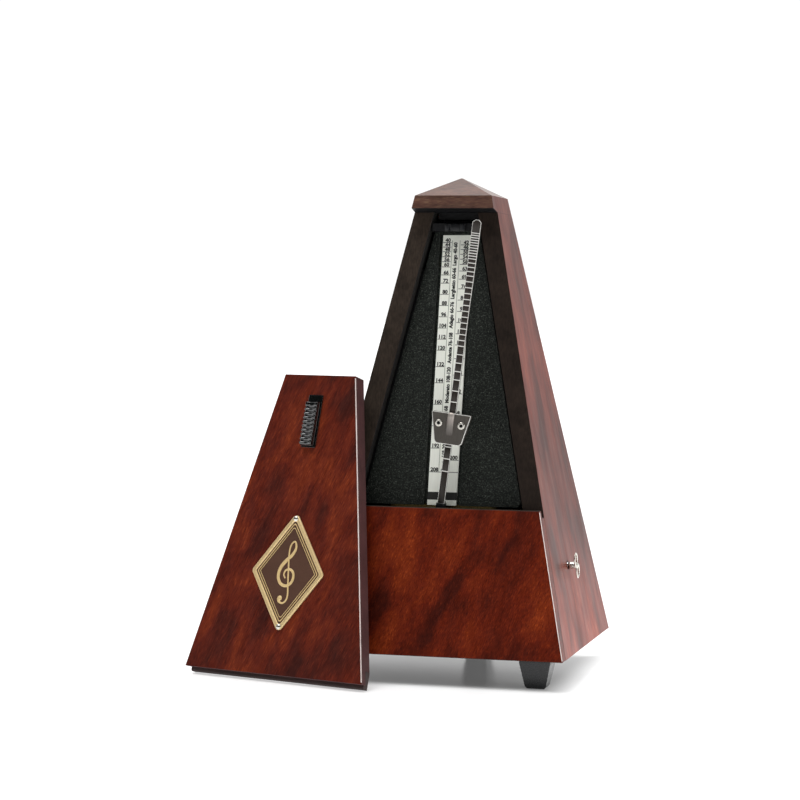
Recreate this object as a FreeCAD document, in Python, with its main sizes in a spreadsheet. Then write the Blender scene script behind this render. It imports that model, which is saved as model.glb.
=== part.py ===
import FreeCAD, Part
import Sketcher, PartDesign
import math, os
from FreeCAD import Vector as V, Placement, Rotation

# Wind-up pyramid metronome: wooden case on three feet, removable front lid
# leaning against the left of the case, swinging rod with a sliding weight, and
# a spring-driven movement inside.  Millimetres, +Z up, front = -Y, right = +X.
# The origin is the centre of the whole object's footprint box, on the floor.

doc = FreeCAD.newDocument("metronome")
sheet = doc.addObject("Spreadsheet::Sheet", "Dims")
DIMS = [
    # case: square pyramid, every face leans in by "taper" mm per mm of height
    ("case_x", 25.426), ("case_y", 11.663),
    ("base_half", 59.96), ("taper", 0.212), ("foot_height", 13.24),
    ("panel_top", 76.47), ("cap_seat", 206.2), ("cap_bottom", 207.8),
    ("eave", 213.5), ("apex", 222.0), ("apex_half", 0.35),
    ("front_wood", 7.84), ("side_wood", 9.0), ("floor_wood", 6.0),
    ("rebate_drop", 3.2), ("lip_wood", 3.1),
    # feet
    ("foot_x", 46.3), ("foot_y", 45.2), ("foot_rear_y", 46.0),
    ("foot_bottom_half", 4.6), ("foot_top_half", 6.8), ("foot_band", 2.0),
    ("foot_screw_radius", 1.5), ("foot_screw_head", 2.9),
    # recess panel, scale and the parts round them
    ("recess_inset", 13.0), ("recess_gauge", 1.5), ("recess_gap", 1.5),
    ("recess_bottom", 76.6), ("recess_top", 197.6), ("recess_corner", 3.0),
    ("scale_half", 6.6), ("scale_slot_half", 7.9), ("scale_inset", 13.7),
    ("scale_gauge", 0.8), ("scale_bottom", 76.6), ("scale_top", 196.2),
    ("scale_notch_half", 1.75), ("scale_notch_top", 78.4),
    ("carrier_half", 9.4), ("carrier_gauge", 1.0),
    ("rail_width", 5.0), ("rail_depth", 3.4),
    ("crossbar_low", 197.7), ("crossbar_high", 201.3), ("crossbar_half", 10.9),
    ("crossbar_front", 11.5), ("crossbar_back", 7.6),
    ("clip_half", 4.5), ("clip_reach", 2.6),
    ("ledge_low", 73.9), ("ledge_high", 74.7), ("ledge_slot_half", 4.6),
    # pendulum
    ("pivot_z", 72.7), ("rod_y", 36.6), ("rod_tilt", 6.85),
    ("rod_gauge", 0.8), ("rod_half_low", 1.6), ("rod_half_high", 1.95),
    ("rod_taper_low", 90.0), ("rod_taper_high", 120.0), ("rod_tip", 130.2),
    ("rod_foot", 3.0), ("rod_tip_chamfer", 1.1), ("notch_first", 19.24), ("notch_depth", 0.22),
    ("notch_width", 0.7), ("notch_stretch", 1.0087),
    ("hub_half", 1.8), ("hub_top", 5.2), ("hub_bottom", 5.2),
    ("hub_front", 1.0), ("hub_back", 2.8), ("hub_boss", 3.0),
    ("arm_half", 2.0), ("arm_gauge", 1.2), ("arm_length", 24.0),
    ("bob_drop", 32.0), ("bob_radius", 10.5), ("bob_half", 6.0),
    ("verge_radius", 1.0), ("verge_front", 38.9), ("verge_rear", 3.5),
    ("running_gap", 0.06),
    # sliding weight, in the rod's own frame
    ("weight_top", 45.1), ("weight_bottom", 31.3), ("weight_top_half", 8.9),
    ("weight_bottom_half", 5.9), ("weight_corner", 1.4),
    ("weight_front", 2.3), ("weight_back", 0.7), ("weight_leaf", 0.4),
    ("channel_half", 2.1), ("channel_front", 0.55),
    ("ridge_half", 1.7), ("ridge_rise", 1.0), ("ridge_bottom", 35.6),
    ("rivet_x", 5.08), ("rivet_z", 40.2), ("rivet_radius", 0.8),
    ("rivet_head", 1.65), ("rivet_rise", 0.7),
    # lid, leaning: plan turn, lean and the place of its lower edge
    ("lid_turn", -17.54), ("lid_lean", 15.57), ("lid_x", -66.57), ("lid_y", -69.74),
    ("lid_bottom_half", 46.56), ("lid_top_half", 18.71), ("lid_length", 134.26),
    ("lid_wood", 6.76), ("tongue_drop", 1.9), ("tongue_front", 3.3),
    ("tongue_up", 6.0), ("tongue_side", 1.0),
    ("emblem_v", 45.0), ("emblem_half_w", 18.4), ("emblem_half_v", 26.0),
    ("emblem_cut", 1.5), ("emblem_gauge", 0.9), ("emblem_pin_v", 24.0),
    ("emblem_pin_radius", 0.7), ("emblem_pin_head", 1.3),
    ("latch_half", 3.1), ("latch_low", 101.8), ("latch_high", 121.4),
    ("latch_rise", 3.0), ("latch_base_half", 3.7), ("latch_base_low", 101.2),
    ("latch_base_high", 125.0), ("latch_base_gauge", 0.8),
    ("rib_pitch", 1.9), ("rib_depth", 0.8), ("latch_travel", 3.0),
    ("stem_half", 1.2), ("stem_low", 110.0), ("stem_high", 116.0),
    ("bolt_half", 1.6), ("bolt_low", 107.0), ("bolt_high", 133.2),
    ("bolt_gauge", 0.9), ("bolt_groove", 1.5),
    # movement: arbor positions (y, z) from the case's centre line
    ("main_y", -7.8), ("main_z", 49.5), ("second_y", 0.49), ("second_z", 68.8),
    ("escape_y", -14.0), ("plate_x", 22.0), ("plate_gauge", 2.0),
    ("main_teeth", 60), ("main_module", 0.6), ("second_teeth", 50),
    ("second_module", 0.5), ("pinion_leaves", 10),
    ("wheel_gauge", 2.0), ("main_wheel_x", -17.0), ("second_wheel_x", -12.0),
    ("second_wheel_gauge", 1.2), ("main_arbor_radius", 2.2), ("key_shaft_radius", 1.5),
    ("train_arbor_radius", 1.0), ("arbor_pivot_radius", 0.7),
    ("pillar_radius", 2.2), ("pillar_screw_head", 2.9), ("pillar_screw_radius", 1.2),
    ("spring_outer", 14.0), ("spring_inner", 3.2), ("spring_coils", 7),
    ("spring_gauge", 0.35), ("spring_left", -8.0), ("spring_width", 15.0),
    ("ratchet_radius", 6.5), ("ratchet_teeth", 20), ("ratchet_gauge", 1.2),
    ("click_x", 8.4), ("click_z", 6.0),
    ("crown_teeth", 15), ("crown_radius", 9.3), ("crown_rim", 0.8),
    ("crown_tip_x", -2.9), ("crown_depth", 3.0), ("crown_web_x", -7.6),
    ("pallet_reach", 2.6), ("pallet_offset", 9.0),
    ("key_face_x", 55.4), ("key_gauge", 1.6), ("key_half_long", 7.4),
    ("key_half_wide", 3.4), ("key_turn", 40.0), ("key_hole_radius", 1.9),
]
# heights of the tempo marks above the lowest one, along the scale
MARKS = [104.16, 103.15, 102.11, 101.04, 99.95, 98.83, 97.69, 96.54, 95.36, 94.17,
         92.97, 91.14, 89.28, 87.40, 85.51, 82.97, 80.41, 77.84, 75.27, 72.69,
         70.12, 67.56, 65.01, 62.46, 59.93, 57.41, 54.91, 51.18, 47.47, 43.79,
         40.14, 35.29, 30.45, 25.61, 20.74, 15.80, 10.75, 5.54, 0.09]
for k, m in enumerate(MARKS):
    DIMS.append(("mark_%c%c" % (chr(97 + k // 10), chr(97 + k % 10)), m))
for row, (alias, value) in enumerate(DIMS, start=1):
    sheet.set("A%d" % row, alias)
    sheet.set("B%d" % row, str(value))
    sheet.setAlias("B%d" % row, alias)
doc.recompute()


def D(alias):
    return float(sheet.get(alias))


def ev(e):
    return float(sheet.evalExpression(e)) if isinstance(e, str) else float(e)


def half(z):
    """Half-width of the pyramid at height z, as an expression."""
    return "(Dims.base_half-Dims.taper*((%s)-Dims.foot_height))" % z


def origin(body, role):
    for f in body.Origin.OriginFeatures:
        if f.Role == role:
            return f
    raise RuntimeError(role)


NODES = []


def new_body(label, base=("Dims.case_x", "Dims.case_y", 0), rot=None):
    b = doc.addObject("PartDesign::Body", label)
    b.Label = label
    if rot is not None:
        b.Placement = rot
    else:
        place(b, base)
    NODES.append(b)
    return b


def place(obj, base, rot=None):
    obj.Placement = Placement(V(*[ev(c) for c in base]), rot or Rotation())
    for axis, c in zip("xyz", base):
        if isinstance(c, str):
            obj.setExpression("Placement.Base." + axis, c)


def sketch(body, role="XY_Plane", off=None, name="Sketch"):
    s = body.newObject("Sketcher::SketchObject", name)
    s.AttachmentSupport = [(origin(body, role), "")]
    s.MapMode = "FlatFace"
    if off is not None:
        s.AttachmentOffset = Placement(V(0, 0, ev(off)), Rotation())
        if isinstance(off, str):
            s.setExpression("AttachmentOffset.Base.z", off)
    return s


def poly(s, pts):
    """Closed polygon whose corners are tied to the sketch origin."""
    P = [(ev(a), ev(b)) for a, b in pts]
    n, g = len(P), s.GeometryCount
    for i in range(n):
        a, b = P[i], P[(i + 1) % n]
        s.addGeometry(Part.LineSegment(V(a[0], a[1], 0), V(b[0], b[1], 0)), False)
    for i in range(n):
        s.addConstraint(Sketcher.Constraint("Coincident", g + i, 2, g + (i + 1) % n, 1))
    for i, (ex, ey) in enumerate(pts):
        for kind, e, v in (("DistanceX", ex, P[i][0]), ("DistanceY", ey, P[i][1])):
            if abs(v) < 1e-9 and not isinstance(e, str):
                s.addConstraint(Sketcher.Constraint("PointOnObject", g + i, 1,
                                                    -2 if kind == "DistanceX" else -1))
                continue
            k = s.addConstraint(Sketcher.Constraint(kind, -1, 1, g + i, 1, v))
            if isinstance(e, str):
                s.setExpression("Constraints[%d]" % k, e)
    return s


def rect(s, x0, x1, y0, y1):
    return poly(s, [(x0, y0), (x1, y0), (x1, y1), (x0, y1)])


def circle(s, x, y, r):
    g = s.addGeometry(Part.Circle(V(ev(x), ev(y), 0), V(0, 0, 1), ev(r)), False)
    k = s.addConstraint(Sketcher.Constraint("Radius", g, ev(r)))
    if isinstance(r, str):
        s.setExpression("Constraints[%d]" % k, r)
    for kind, e in (("DistanceX", x), ("DistanceY", y)):
        v = ev(e)
        if abs(v) < 1e-9 and not isinstance(e, str):
            s.addConstraint(Sketcher.Constraint("PointOnObject", g, 3,
                                                -2 if kind == "DistanceX" else -1))
            continue
        k = s.addConstraint(Sketcher.Constraint(kind, -1, 1, g, 3, v))
        if isinstance(e, str):
            s.setExpression("Constraints[%d]" % k, e)
    return s


def pad(body, s, length, mid=False, rev=False, name="Pad"):
    p = body.newObject("PartDesign::Pad", name)
    p.Profile = s
    p.Midplane = mid
    p.Reversed = rev
    p.Length = ev(length)
    if isinstance(length, str):
        p.setExpression("Length", length)
    return p


def pocket(body, s, length, mid=True, rev=False, name="Pocket"):
    p = body.newObject("PartDesign::Pocket", name)
    p.Profile = s
    p.Midplane = mid
    p.Reversed = rev
    p.Length = ev(length)
    if isinstance(length, str):
        p.setExpression("Length", length)
    return p


def loft(body, sections, name="Loft"):
    l = body.newObject("PartDesign::AdditiveLoft", name)
    l.Profile = sections[0]
    l.Sections = sections[1:]
    l.Ruled = True
    return l


def slab(body, quad, z0, z1, name="Loft"):
    """Loft between the same rule of a quad taken at two heights."""
    secs = []
    for k, z in enumerate((z0, z1)):
        s = sketch(body, "XY_Plane", z if isinstance(z, str) else float(z), "%sAt%d" % (name, k))
        poly(s, quad(z))
        secs.append(s)
    return loft(body, secs, name)


def revolve(body, s, axis="V_Axis", name="Revolution"):
    r = body.newObject("PartDesign::Revolution", name)
    r.Profile = s
    r.ReferenceAxis = (s, [axis])
    r.Angle = 360
    return r


def polar(body, feature, role, count, name="PolarPattern"):
    p = body.newObject("PartDesign::PolarPattern", name)
    p.Originals = [feature]
    p.Axis = (origin(body, role), [""])
    p.Angle = 360
    p.Occurrences = int(ev(count))
    if isinstance(count, str):
        p.setExpression("Occurrences", count)
    body.Tip = p
    return p


def feature(label, shape, base=("Dims.case_x", "Dims.case_y", 0), rot=None):
    f = doc.addObject("Part::Feature", label)
    f.Label = label
    f.Shape = shape
    if isinstance(rot, Placement):
        f.Placement = rot
    else:
        place(f, base, rot)
    NODES.append(f)
    return f


FW, SW = "Dims.front_wood", "Dims.side_wood"

# ---------------------------------------------------------------- case boards
for sign, label in ((-1, "left_side_board"), (1, "right_side_board")):
    b = new_body(label)
    sg = "-" if sign < 0 else ""

    def quad(z, sg=sg):
        a = half(z)
        return [("%s(%s-%s)" % (sg, a, SW), "-(%s-%s)" % (a, FW)),
                ("%s%s" % (sg, a), "-(%s-%s)" % (a, FW)),
                ("%s%s" % (sg, a), "%s-%s" % (a, FW)),
                ("%s(%s-%s)" % (sg, a, SW), "%s-%s" % (a, FW))]
    slab(b, quad, "Dims.foot_height", "Dims.cap_seat", "Board")
    if sign > 0:
        s = sketch(b, "YZ_Plane", None, "KeyHole")
        circle(s, "Dims.main_y", "Dims.main_z", "Dims.key_hole_radius")
        pocket(b, s, 400.0)

b = new_body("rear_board")
slab(b, lambda z: [("-" + half(z), "%s-%s" % (half(z), FW)), (half(z), "%s-%s" % (half(z), FW)),
                   (half(z), half(z)), ("-" + half(z), half(z))],
     "Dims.foot_height", "Dims.cap_seat", "Board")

# the front panel has a stepped top edge: the lid's tongue drops in behind its lip
b = new_body("front_panel")
zr = "(Dims.panel_top-Dims.rebate_drop)"
slab(b, lambda z: [("-" + half(z), "-" + half(z)), (half(z), "-" + half(z)),
                   (half(z), "-(%s-%s)" % (half(z), FW)), ("-" + half(z), "-(%s-%s)" % (half(z), FW))],
     "Dims.foot_height", zr, "Board")
slab(b, lambda z: [("-" + half(z), "-" + half(z)), (half(z), "-" + half(z)),
                   (half(z), "-(%s-Dims.lip_wood)" % half(z)), ("-" + half(z), "-(%s-Dims.lip_wood)" % half(z))],
     zr, "Dims.panel_top", "Lip")

b = new_body("bottom_board")
slab(b, lambda z: [("-(%s-%s)" % (half(z), SW), "-(%s-%s)" % (half(z), FW)),
                   ("%s-%s" % (half(z), SW), "-(%s-%s)" % (half(z), FW)),
                   ("%s-%s" % (half(z), SW), "%s-%s" % (half(z), FW)),
                   ("-(%s-%s)" % (half(z), SW), "%s-%s" % (half(z), FW))],
     "Dims.foot_height", "(Dims.foot_height+Dims.floor_wood)", "Board")
s = sketch(b, "XY_Plane", "Dims.foot_height+Dims.floor_wood+1", "ScrewHoles")
FEET = [("foot_front_left", "-Dims.foot_x", "-Dims.foot_y"),
        ("foot_front_right", "Dims.foot_x", "-Dims.foot_y"),
        ("foot_rear", 0, "Dims.foot_rear_y")]
for _, fx, fy in FEET:
    circle(s, fx, fy, "Dims.foot_screw_radius+0.02")
pocket(b, s, "Dims.floor_wood+3", mid=False)

# cap: chamfered underside behind the front band, upright band, pyramid roof
b = new_body("cap")


def cap_quad(z, inset=None, size=None):
    a = size or half(z)
    front = "-(%s-%s)" % (a, inset) if inset else "-" + a
    return [("-" + a, front), (a, front), (a, a), ("-" + a, a)]


def cap_loft(z0, q0, z1, q1, name):
    secs = []
    for k, (z, q) in enumerate(((z0, q0), (z1, q1))):
        s = sketch(b, "XY_Plane", z, "%s%d" % (name, k))
        poly(s, q)
        secs.append(s)
    return loft(b, secs, name)


cap_loft("Dims.cap_seat", cap_quad("Dims.cap_seat", FW), "Dims.cap_bottom", cap_quad("Dims.cap_bottom"), "Under")
cap_loft("Dims.cap_bottom", cap_quad("Dims.cap_bottom"), "Dims.eave", cap_quad("Dims.eave"), "Band")
cap_loft("Dims.eave", cap_quad("Dims.eave"), "Dims.apex", cap_quad("Dims.apex", None, "Dims.apex_half"), "Roof")
s = sketch(b, "XY_Plane", "Dims.cap_seat", "Plug")
rect(s, -9.4, 9.4, -5.5, 10.0)
pad(b, s, 3.0, rev=True, name="PlugPad")

# ---------------------------------------------------------------------- feet
for label, fx, fy in FEET:
    px = "Dims.case_x" + ("" if fx == 0 else ("+" + fx if not fx.startswith("-") else fx))
    py = "Dims.case_y" + ("+" + fy if not fy.startswith("-") else fy)
    b = new_body(label, (px, py, 0))
    t, w = "Dims.foot_top_half", "Dims.foot_bottom_half"
    zs = ["1.0", "Dims.foot_height-Dims.foot_band"]
    secs = []
    for k, (z, hw) in enumerate(((0, "%s-0.8" % w), (1.0, w))):
        s = sketch(b, "XY_Plane", z, "Toe%d" % k)
        rect(s, "-(%s)" % hw, hw, "-(%s)" % hw, hw)
        secs.append(s)
    loft(b, secs, "Toe")
    secs = []
    for k, (z, hw) in enumerate(((1.0, w), ("Dims.foot_height-Dims.foot_band", t))):
        s = sketch(b, "XY_Plane", z, "Shank%d" % k)
        rect(s, "-" + hw, hw, "-" + hw, hw)
        secs.append(s)
    loft(b, secs, "Shank")
    s = sketch(b, "XY_Plane", "Dims.foot_height-Dims.foot_band", "Band")
    rect(s, "-" + t, t, "-" + t, t)
    pad(b, s, "Dims.foot_band", name="BandPad")
    s = sketch(b, "XY_Plane", "Dims.foot_height", "ScrewHole")
    circle(s, 0, 0, "Dims.foot_screw_radius")
    pocket(b, s, 9.0, mid=False, name="ScrewHolePocket")

# screws from inside the case down into the feet: pan head and shank in one
screws = []
for _, fx, fy in FEET:
    top = D("foot_height") + D("floor_wood")
    sh = Part.makeCylinder(D("foot_screw_radius"), D("floor_wood") + 8.5, V(0, 0, top - D("floor_wood") - 8.5))
    hd = Part.makeCylinder(D("foot_screw_head"), 1.6, V(0, 0, top))
    hd = hd.makeFillet(0.8, [e for e in hd.Edges if abs(e.BoundBox.ZMin - top - 1.6) < 1e-6 and e.BoundBox.ZLength < 1e-6])
    slot = Part.makeBox(5.0, 0.7, 0.7, V(-2.5, -0.35, top + 1.0))
    one = sh.fuse(hd).cut(slot).removeSplitter()
    one.translate(V(ev(fx), ev(fy), 0))
    screws.append(one)
feature("foot_screws", Part.makeCompound(screws))

# ------------------------------------------------- recess panel and the scale


def sloped(label, xh, inset, gauge, z0, z1, rot=None):
    """Plate parallel to the leaning front, a horizontal distance behind it."""
    b = new_body(label)
    slab(b, lambda z: [("-" + xh(z), "-(%s-(%s))" % (half(z), inset)), (xh(z), "-(%s-(%s))" % (half(z), inset)),
                       (xh(z), "-(%s-(%s)-(%s))" % (half(z), inset, gauge)),
                       ("-" + xh(z), "-(%s-(%s)-(%s))" % (half(z), inset, gauge))], z0, z1, "Plate")
    return b


b = sloped("recess_panel", lambda z: "(%s-%s-Dims.recess_gap)" % (half(z), SW), "Dims.recess_inset",
           "Dims.recess_gauge", "Dims.recess_bottom", "Dims.recess_top")
s = sketch(b, "XZ_Plane", None, "ScaleSlot")
rect(s, "-Dims.scale_slot_half", "Dims.scale_slot_half", "Dims.recess_bottom-1", "Dims.scale_top+0.15")
pocket(b, s, 400.0, name="ScaleSlotPocket")
for sg in ("-", ""):
    # cut-off lower corners
    s = sketch(b, "XZ_Plane", None, "Corner")
    w0 = "%s(%s-%s-Dims.recess_gap+1)" % (sg, half("Dims.recess_bottom"), SW)
    poly(s, [(w0, "Dims.recess_bottom-1"),
             ("%s(%s-%s-Dims.recess_gap-Dims.recess_corner)" % (sg, half("Dims.recess_bottom"), SW), "Dims.recess_bottom-1"),
             ("%s(%s-%s-Dims.recess_gap-Dims.recess_corner*0.3)" % (sg, half("Dims.recess_bottom"), SW), "Dims.recess_bottom+Dims.recess_corner*0.3"),
             (w0, "Dims.recess_bottom+Dims.recess_corner+1")])
    pocket(b, s, 400.0, name="CornerPocket")

b = sloped("scale_plate", lambda z: "Dims.scale_half", "Dims.scale_inset", "Dims.scale_gauge",
           "Dims.scale_bottom", "Dims.scale_top")
s = sketch(b, "XZ_Plane", None, "RodNotch")
rect(s, "-Dims.scale_notch_half", "Dims.scale_notch_half", "Dims.scale_bottom-2", "Dims.scale_notch_top")
pocket(b, s, 400.0, name="RodNotchPocket")

b = sloped("scale_carrier", lambda z: "Dims.carrier_half", "Dims.recess_inset+Dims.recess_gauge", "Dims.carrier_gauge",
           "Dims.recess_bottom+0.6", "Dims.recess_top-0.2")
s = sketch(b, "XZ_Plane", None, "RodNotch")
rect(s, "-Dims.ledge_slot_half", "Dims.ledge_slot_half", "Dims.scale_bottom-2", "Dims.scale_notch_top")
pocket(b, s, 400.0, name="RodNotchPocket")

for sg, label in (("-", "left_panel_rail"), ("", "right_panel_rail")):
    b = new_body(label)

    def quad(z, sg=sg):
        xo, xi = "%s(%s-%s)" % (sg, half(z), SW), "%s(%s-%s-Dims.rail_width)" % (sg, half(z), SW)
        y0 = "-(%s-Dims.recess_inset-Dims.recess_gauge)" % half(z)
        y1 = "-(%s-Dims.recess_inset-Dims.recess_gauge-Dims.rail_depth)" % half(z)
        return [(xi, y0), (xo, y0), (xo, y1), (xi, y1)]
    slab(b, quad, "Dims.recess_bottom", "Dims.recess_top-17", "Rail")

b = new_body("top_crossbar")
s = sketch(b, "XY_Plane", "Dims.crossbar_low", "Bar")
rect(s, "-Dims.crossbar_half", "Dims.crossbar_half", "-Dims.crossbar_front", "-Dims.crossbar_back")
pad(b, s, "Dims.crossbar_high-Dims.crossbar_low", name="BarPad")

# clip on the crossbar: two fingers and a back; the closed-up rod springs in between
b = new_body("rod_clip")
s = sketch(b, "XY_Plane", "Dims.crossbar_low+0.2", "Clip")
yb = "-Dims.crossbar_front"
yf = "-(Dims.crossbar_front+Dims.clip_reach)"
poly(s, [("-Dims.clip_half", yb), ("-Dims.clip_half", yf), ("-Dims.clip_half+1.8", yf),
         ("-Dims.clip_half+2.3", "-(Dims.crossbar_front+1.0)"), ("Dims.clip_half-2.3", "-(Dims.crossbar_front+1.0)"),
         ("Dims.clip_half-1.8", yf), ("Dims.clip_half", yf), ("Dims.clip_half", yb)])
pad(b, s, "Dims.crossbar_high-Dims.crossbar_low-0.4", name="ClipPad")

b = new_body("slot_ledge")
slab(b, lambda z: [("-(%s-%s-0.1)" % (half(z), SW), "-(%s-%s)" % (half(z), FW)), ("%s-%s-0.1" % (half(z), SW), "-(%s-%s)" % (half(z), FW)),
                   ("%s-%s-0.1" % (half(z), SW), "-(%s-Dims.recess_inset-1.5)" % half(z)), ("-(%s-%s-0.1)" % (half(z), SW), "-(%s-Dims.recess_inset-1.5)" % half(z))],
     "Dims.ledge_low", "Dims.ledge_high", "Ledge")
s = sketch(b, "XY_Plane", "Dims.ledge_high+1", "RodSlot")
rect(s, "-Dims.ledge_slot_half", "Dims.ledge_slot_half", "-(Dims.rod_y+1.6)", "-(Dims.rod_y-8)")
pocket(b, s, 6.0, mid=False, name="RodSlotPocket")

# ------------------------------------------------------------ movement frame
PLATE = [(-27.0, 20.4), (-29.6, 56.0), (-29.6, 80.0), (-25.0, 90.0), (16.0, 90.0), (24.0, 78.0), (24.0, 20.4)]
PILLARS = [(-25.0, 35.0), (18.0, 27.0), (18.0, 84.0), (-21.5, 86.6)]
POSTS = [(-24.6, 75.2), (-14.5, 84.6)]
for sg, label in (("-", "left_plate"), ("", "right_plate")):
    b = new_body(label)
    s = sketch(b, "YZ_Plane", "-(Dims.plate_x+Dims.plate_gauge)" if sg else "Dims.plate_x", "Outline")
    poly(s, PLATE)
    pad(b, s, "Dims.plate_gauge", name="PlatePad")
    s = sketch(b, "YZ_Plane", None, "Holes")
    circle(s, "Dims.main_y", "Dims.main_z", 3.4)
    circle(s, "Dims.second_y", "Dims.second_z", "Dims.arbor_pivot_radius+Dims.running_gap")
    if sg:
        circle(s, "Dims.escape_y", "Dims.pivot_z", "Dims.arbor_pivot_radius+Dims.running_gap")
    for y, z in PILLARS:
        circle(s, y, z, "Dims.pillar_screw_radius+0.02")
    pocket(b, s, 400.0, name="HolePocket")
# brass bushes for the winding arbor
for sg, label in ((-1, "left_arbor_bush"), (1, "right_arbor_bush")):
    b = new_body(label)
    s = sketch(b, "YZ_Plane", "-(Dims.plate_x+Dims.plate_gauge)" if sg < 0 else "Dims.plate_x", "Ring")
    circle(s, "Dims.main_y", "Dims.main_z", 3.4)
    circle(s, "Dims.main_y", "Dims.main_z", "Dims.main_arbor_radius+Dims.running_gap")
    pad(b, s, "Dims.plate_gauge", name="RingPad")

pil, scr = [], []
for y, z in PILLARS:
    c = Part.makeCylinder(D("pillar_radius"), 2 * D("plate_x"), V(-D("plate_x"), y, z), V(1, 0, 0))
    for x0, dx in ((-D("plate_x"), 1), (D("plate_x"), -1)):
        c = c.cut(Part.makeCylinder(D("pillar_screw_radius"), 6.0, V(x0, y, z), V(dx, 0, 0)))
        xo = x0 - dx * D("plate_gauge")
        s1 = Part.makeCylinder(D("pillar_screw_radius"), 7.5, V(xo, y, z), V(dx, 0, 0))
        h1 = Part.makeCylinder(D("pillar_screw_head"), 1.4, V(xo, y, z), V(-dx, 0, 0))
        sl = Part.makeBox(0.7, 6.5, 0.6, V(xo - dx * 1.1 - 0.35, y - 3.25, z - 0.3))
        scr.append(s1.fuse(h1).cut(sl).removeSplitter())
    pil.append(c)
feature("plate_pillars", Part.makeCompound(pil))
feature("plate_screws", Part.makeCompound(scr))

for sg, label in ((-1, "left_foot_bracket"), (1, "right_foot_bracket")):
    b = new_body(label)
    s = sketch(b, "XZ_Plane", None, "Angle")
    xo = "Dims.plate_x+Dims.plate_gauge"
    zf = "Dims.foot_height+Dims.floor_wood"
    m = "-" if sg < 0 else ""
    poly(s, [("%s(%s)" % (m, xo), zf), ("%s(%s+9)" % (m, xo), zf), ("%s(%s+9)" % (m, xo), "%s+1.2" % zf),
             ("%s(%s+1.2)" % (m, xo), "%s+1.2" % zf), ("%s(%s+1.2)" % (m, xo), "%s+12" % zf), ("%s(%s)" % (m, xo), "%s+12" % zf)])
    pad(b, s, 24.0, mid=True, name="AnglePad")

# bridge that carries the right-hand pivot of the escape arbor, on two posts
b = new_body("escape_bridge")
s = sketch(b, "YZ_Plane", -9.8, "Outline")
poly(s, [(-27.2, 73.4), (-25.4, 71.8), (-14.0, 69.8), (-11.4, 72.0), (-11.6, 86.0), (-14.5, 87.6), (-17.4, 86.0), (-18.6, 78.6), (-25.4, 78.4), (-27.2, 77.0)])
pad(b, s, 1.2, name="BridgePad")
s = sketch(b, "YZ_Plane", None, "Holes")
circle(s, "Dims.escape_y", "Dims.pivot_z", "Dims.train_arbor_radius+Dims.running_gap")
pocket(b, s, 400.0, name="HolePocket")
feature("bridge_posts", Part.makeCompound([Part.makeCylinder(1.8, D("plate_x") - 9.8, V(-D("plate_x"), y, z), V(1, 0, 0)) for y, z in POSTS]))

b = new_body("front_verge_bar")
s = sketch(b, "XZ_Plane", 27.6, "Bar")
rect(s, "-Dims.plate_x", "Dims.plate_x", "Dims.pivot_z-4", "Dims.pivot_z+4")
circle(s, 0, "Dims.pivot_z", "Dims.verge_radius+Dims.running_gap")
pad(b, s, 2.0, name="BarPad")
b = new_body("rear_verge_cock")
s = sketch(b, "XZ_Plane", -3.0, "Cock")
poly(s, [(-3.2, "Dims.pivot_z-2.3"), ("Dims.plate_x", "Dims.pivot_z-2.3"), ("Dims.plate_x", "Dims.pivot_z+5"), (3.0, "Dims.pivot_z+3"), (-3.2, "Dims.pivot_z+3")])
circle(s, 0, "Dims.pivot_z", "Dims.verge_radius+Dims.running_gap")
pad(b, s, 2.0, name="CockPad")

# mainspring: an open coil with its outer end held at the lower front pillar
c0 = V(0, D("main_y"), D("main_z"))
hook = V(0, PILLARS[0][0], PILLARS[0][1])
d = hook - c0
end_ang = math.atan2(d.z, d.y) + math.radians(62)
n, turns = 24 * int(D("spring_coils")), int(D("spring_coils"))
inner, outer = [], []
for k in range(n + 1):
    a = end_ang - 2 * math.pi * (n - k) / 24.0
    r = D("spring_inner") + 0.9 + (D("spring_outer") - D("spring_inner") - 0.9) * (k / float(n))
    for lst, rr in ((inner, r - D("spring_gauge") / 2), (outer, r + D("spring_gauge") / 2)):
        lst.append(V(D("spring_left"), c0.y + rr * math.cos(a), c0.z + rr * math.sin(a)))


def spline(pts):
    c = Part.BSplineCurve()
    c.interpolate(pts)
    return c.toShape()


w = Part.Wire([spline(outer), Part.LineSegment(outer[-1], inner[-1]).toShape(),
               spline(inner[::-1]), Part.LineSegment(inner[0], outer[0]).toShape()])
coil = Part.Face(w).extrude(V(D("spring_width"), 0, 0))
tip = (outer[-1] + inner[-1]) * 0.5
tang = hook - tip
tang.x = 0
length = tang.Length - D("pillar_radius")
tang.normalize()
nrm = V(0, -tang.z, tang.y) * (D("spring_gauge") / 2)
e0, e1 = tip - tang * 0.3, tip + tang * (length - 0.01)
tail = Part.Face(Part.makePolygon([e0 + nrm, e1 + nrm, e1 - nrm, e0 - nrm, e0 + nrm])).extrude(V(D("spring_width"), 0, 0))
feature("mainspring", coil.fuse(tail).removeSplitter())

# --------------------------------------------------------------- wheels


def arbor_dir(y0, z0, y1, z1):
    return math.degrees(math.atan2(z1 - z0, y1 - y0))


phi1 = arbor_dir(D("main_y"), D("main_z"), D("second_y"), D("second_z"))
phi2 = arbor_dir(D("second_y"), D("second_z"), D("escape_y"), D("pivot_z"))


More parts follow.
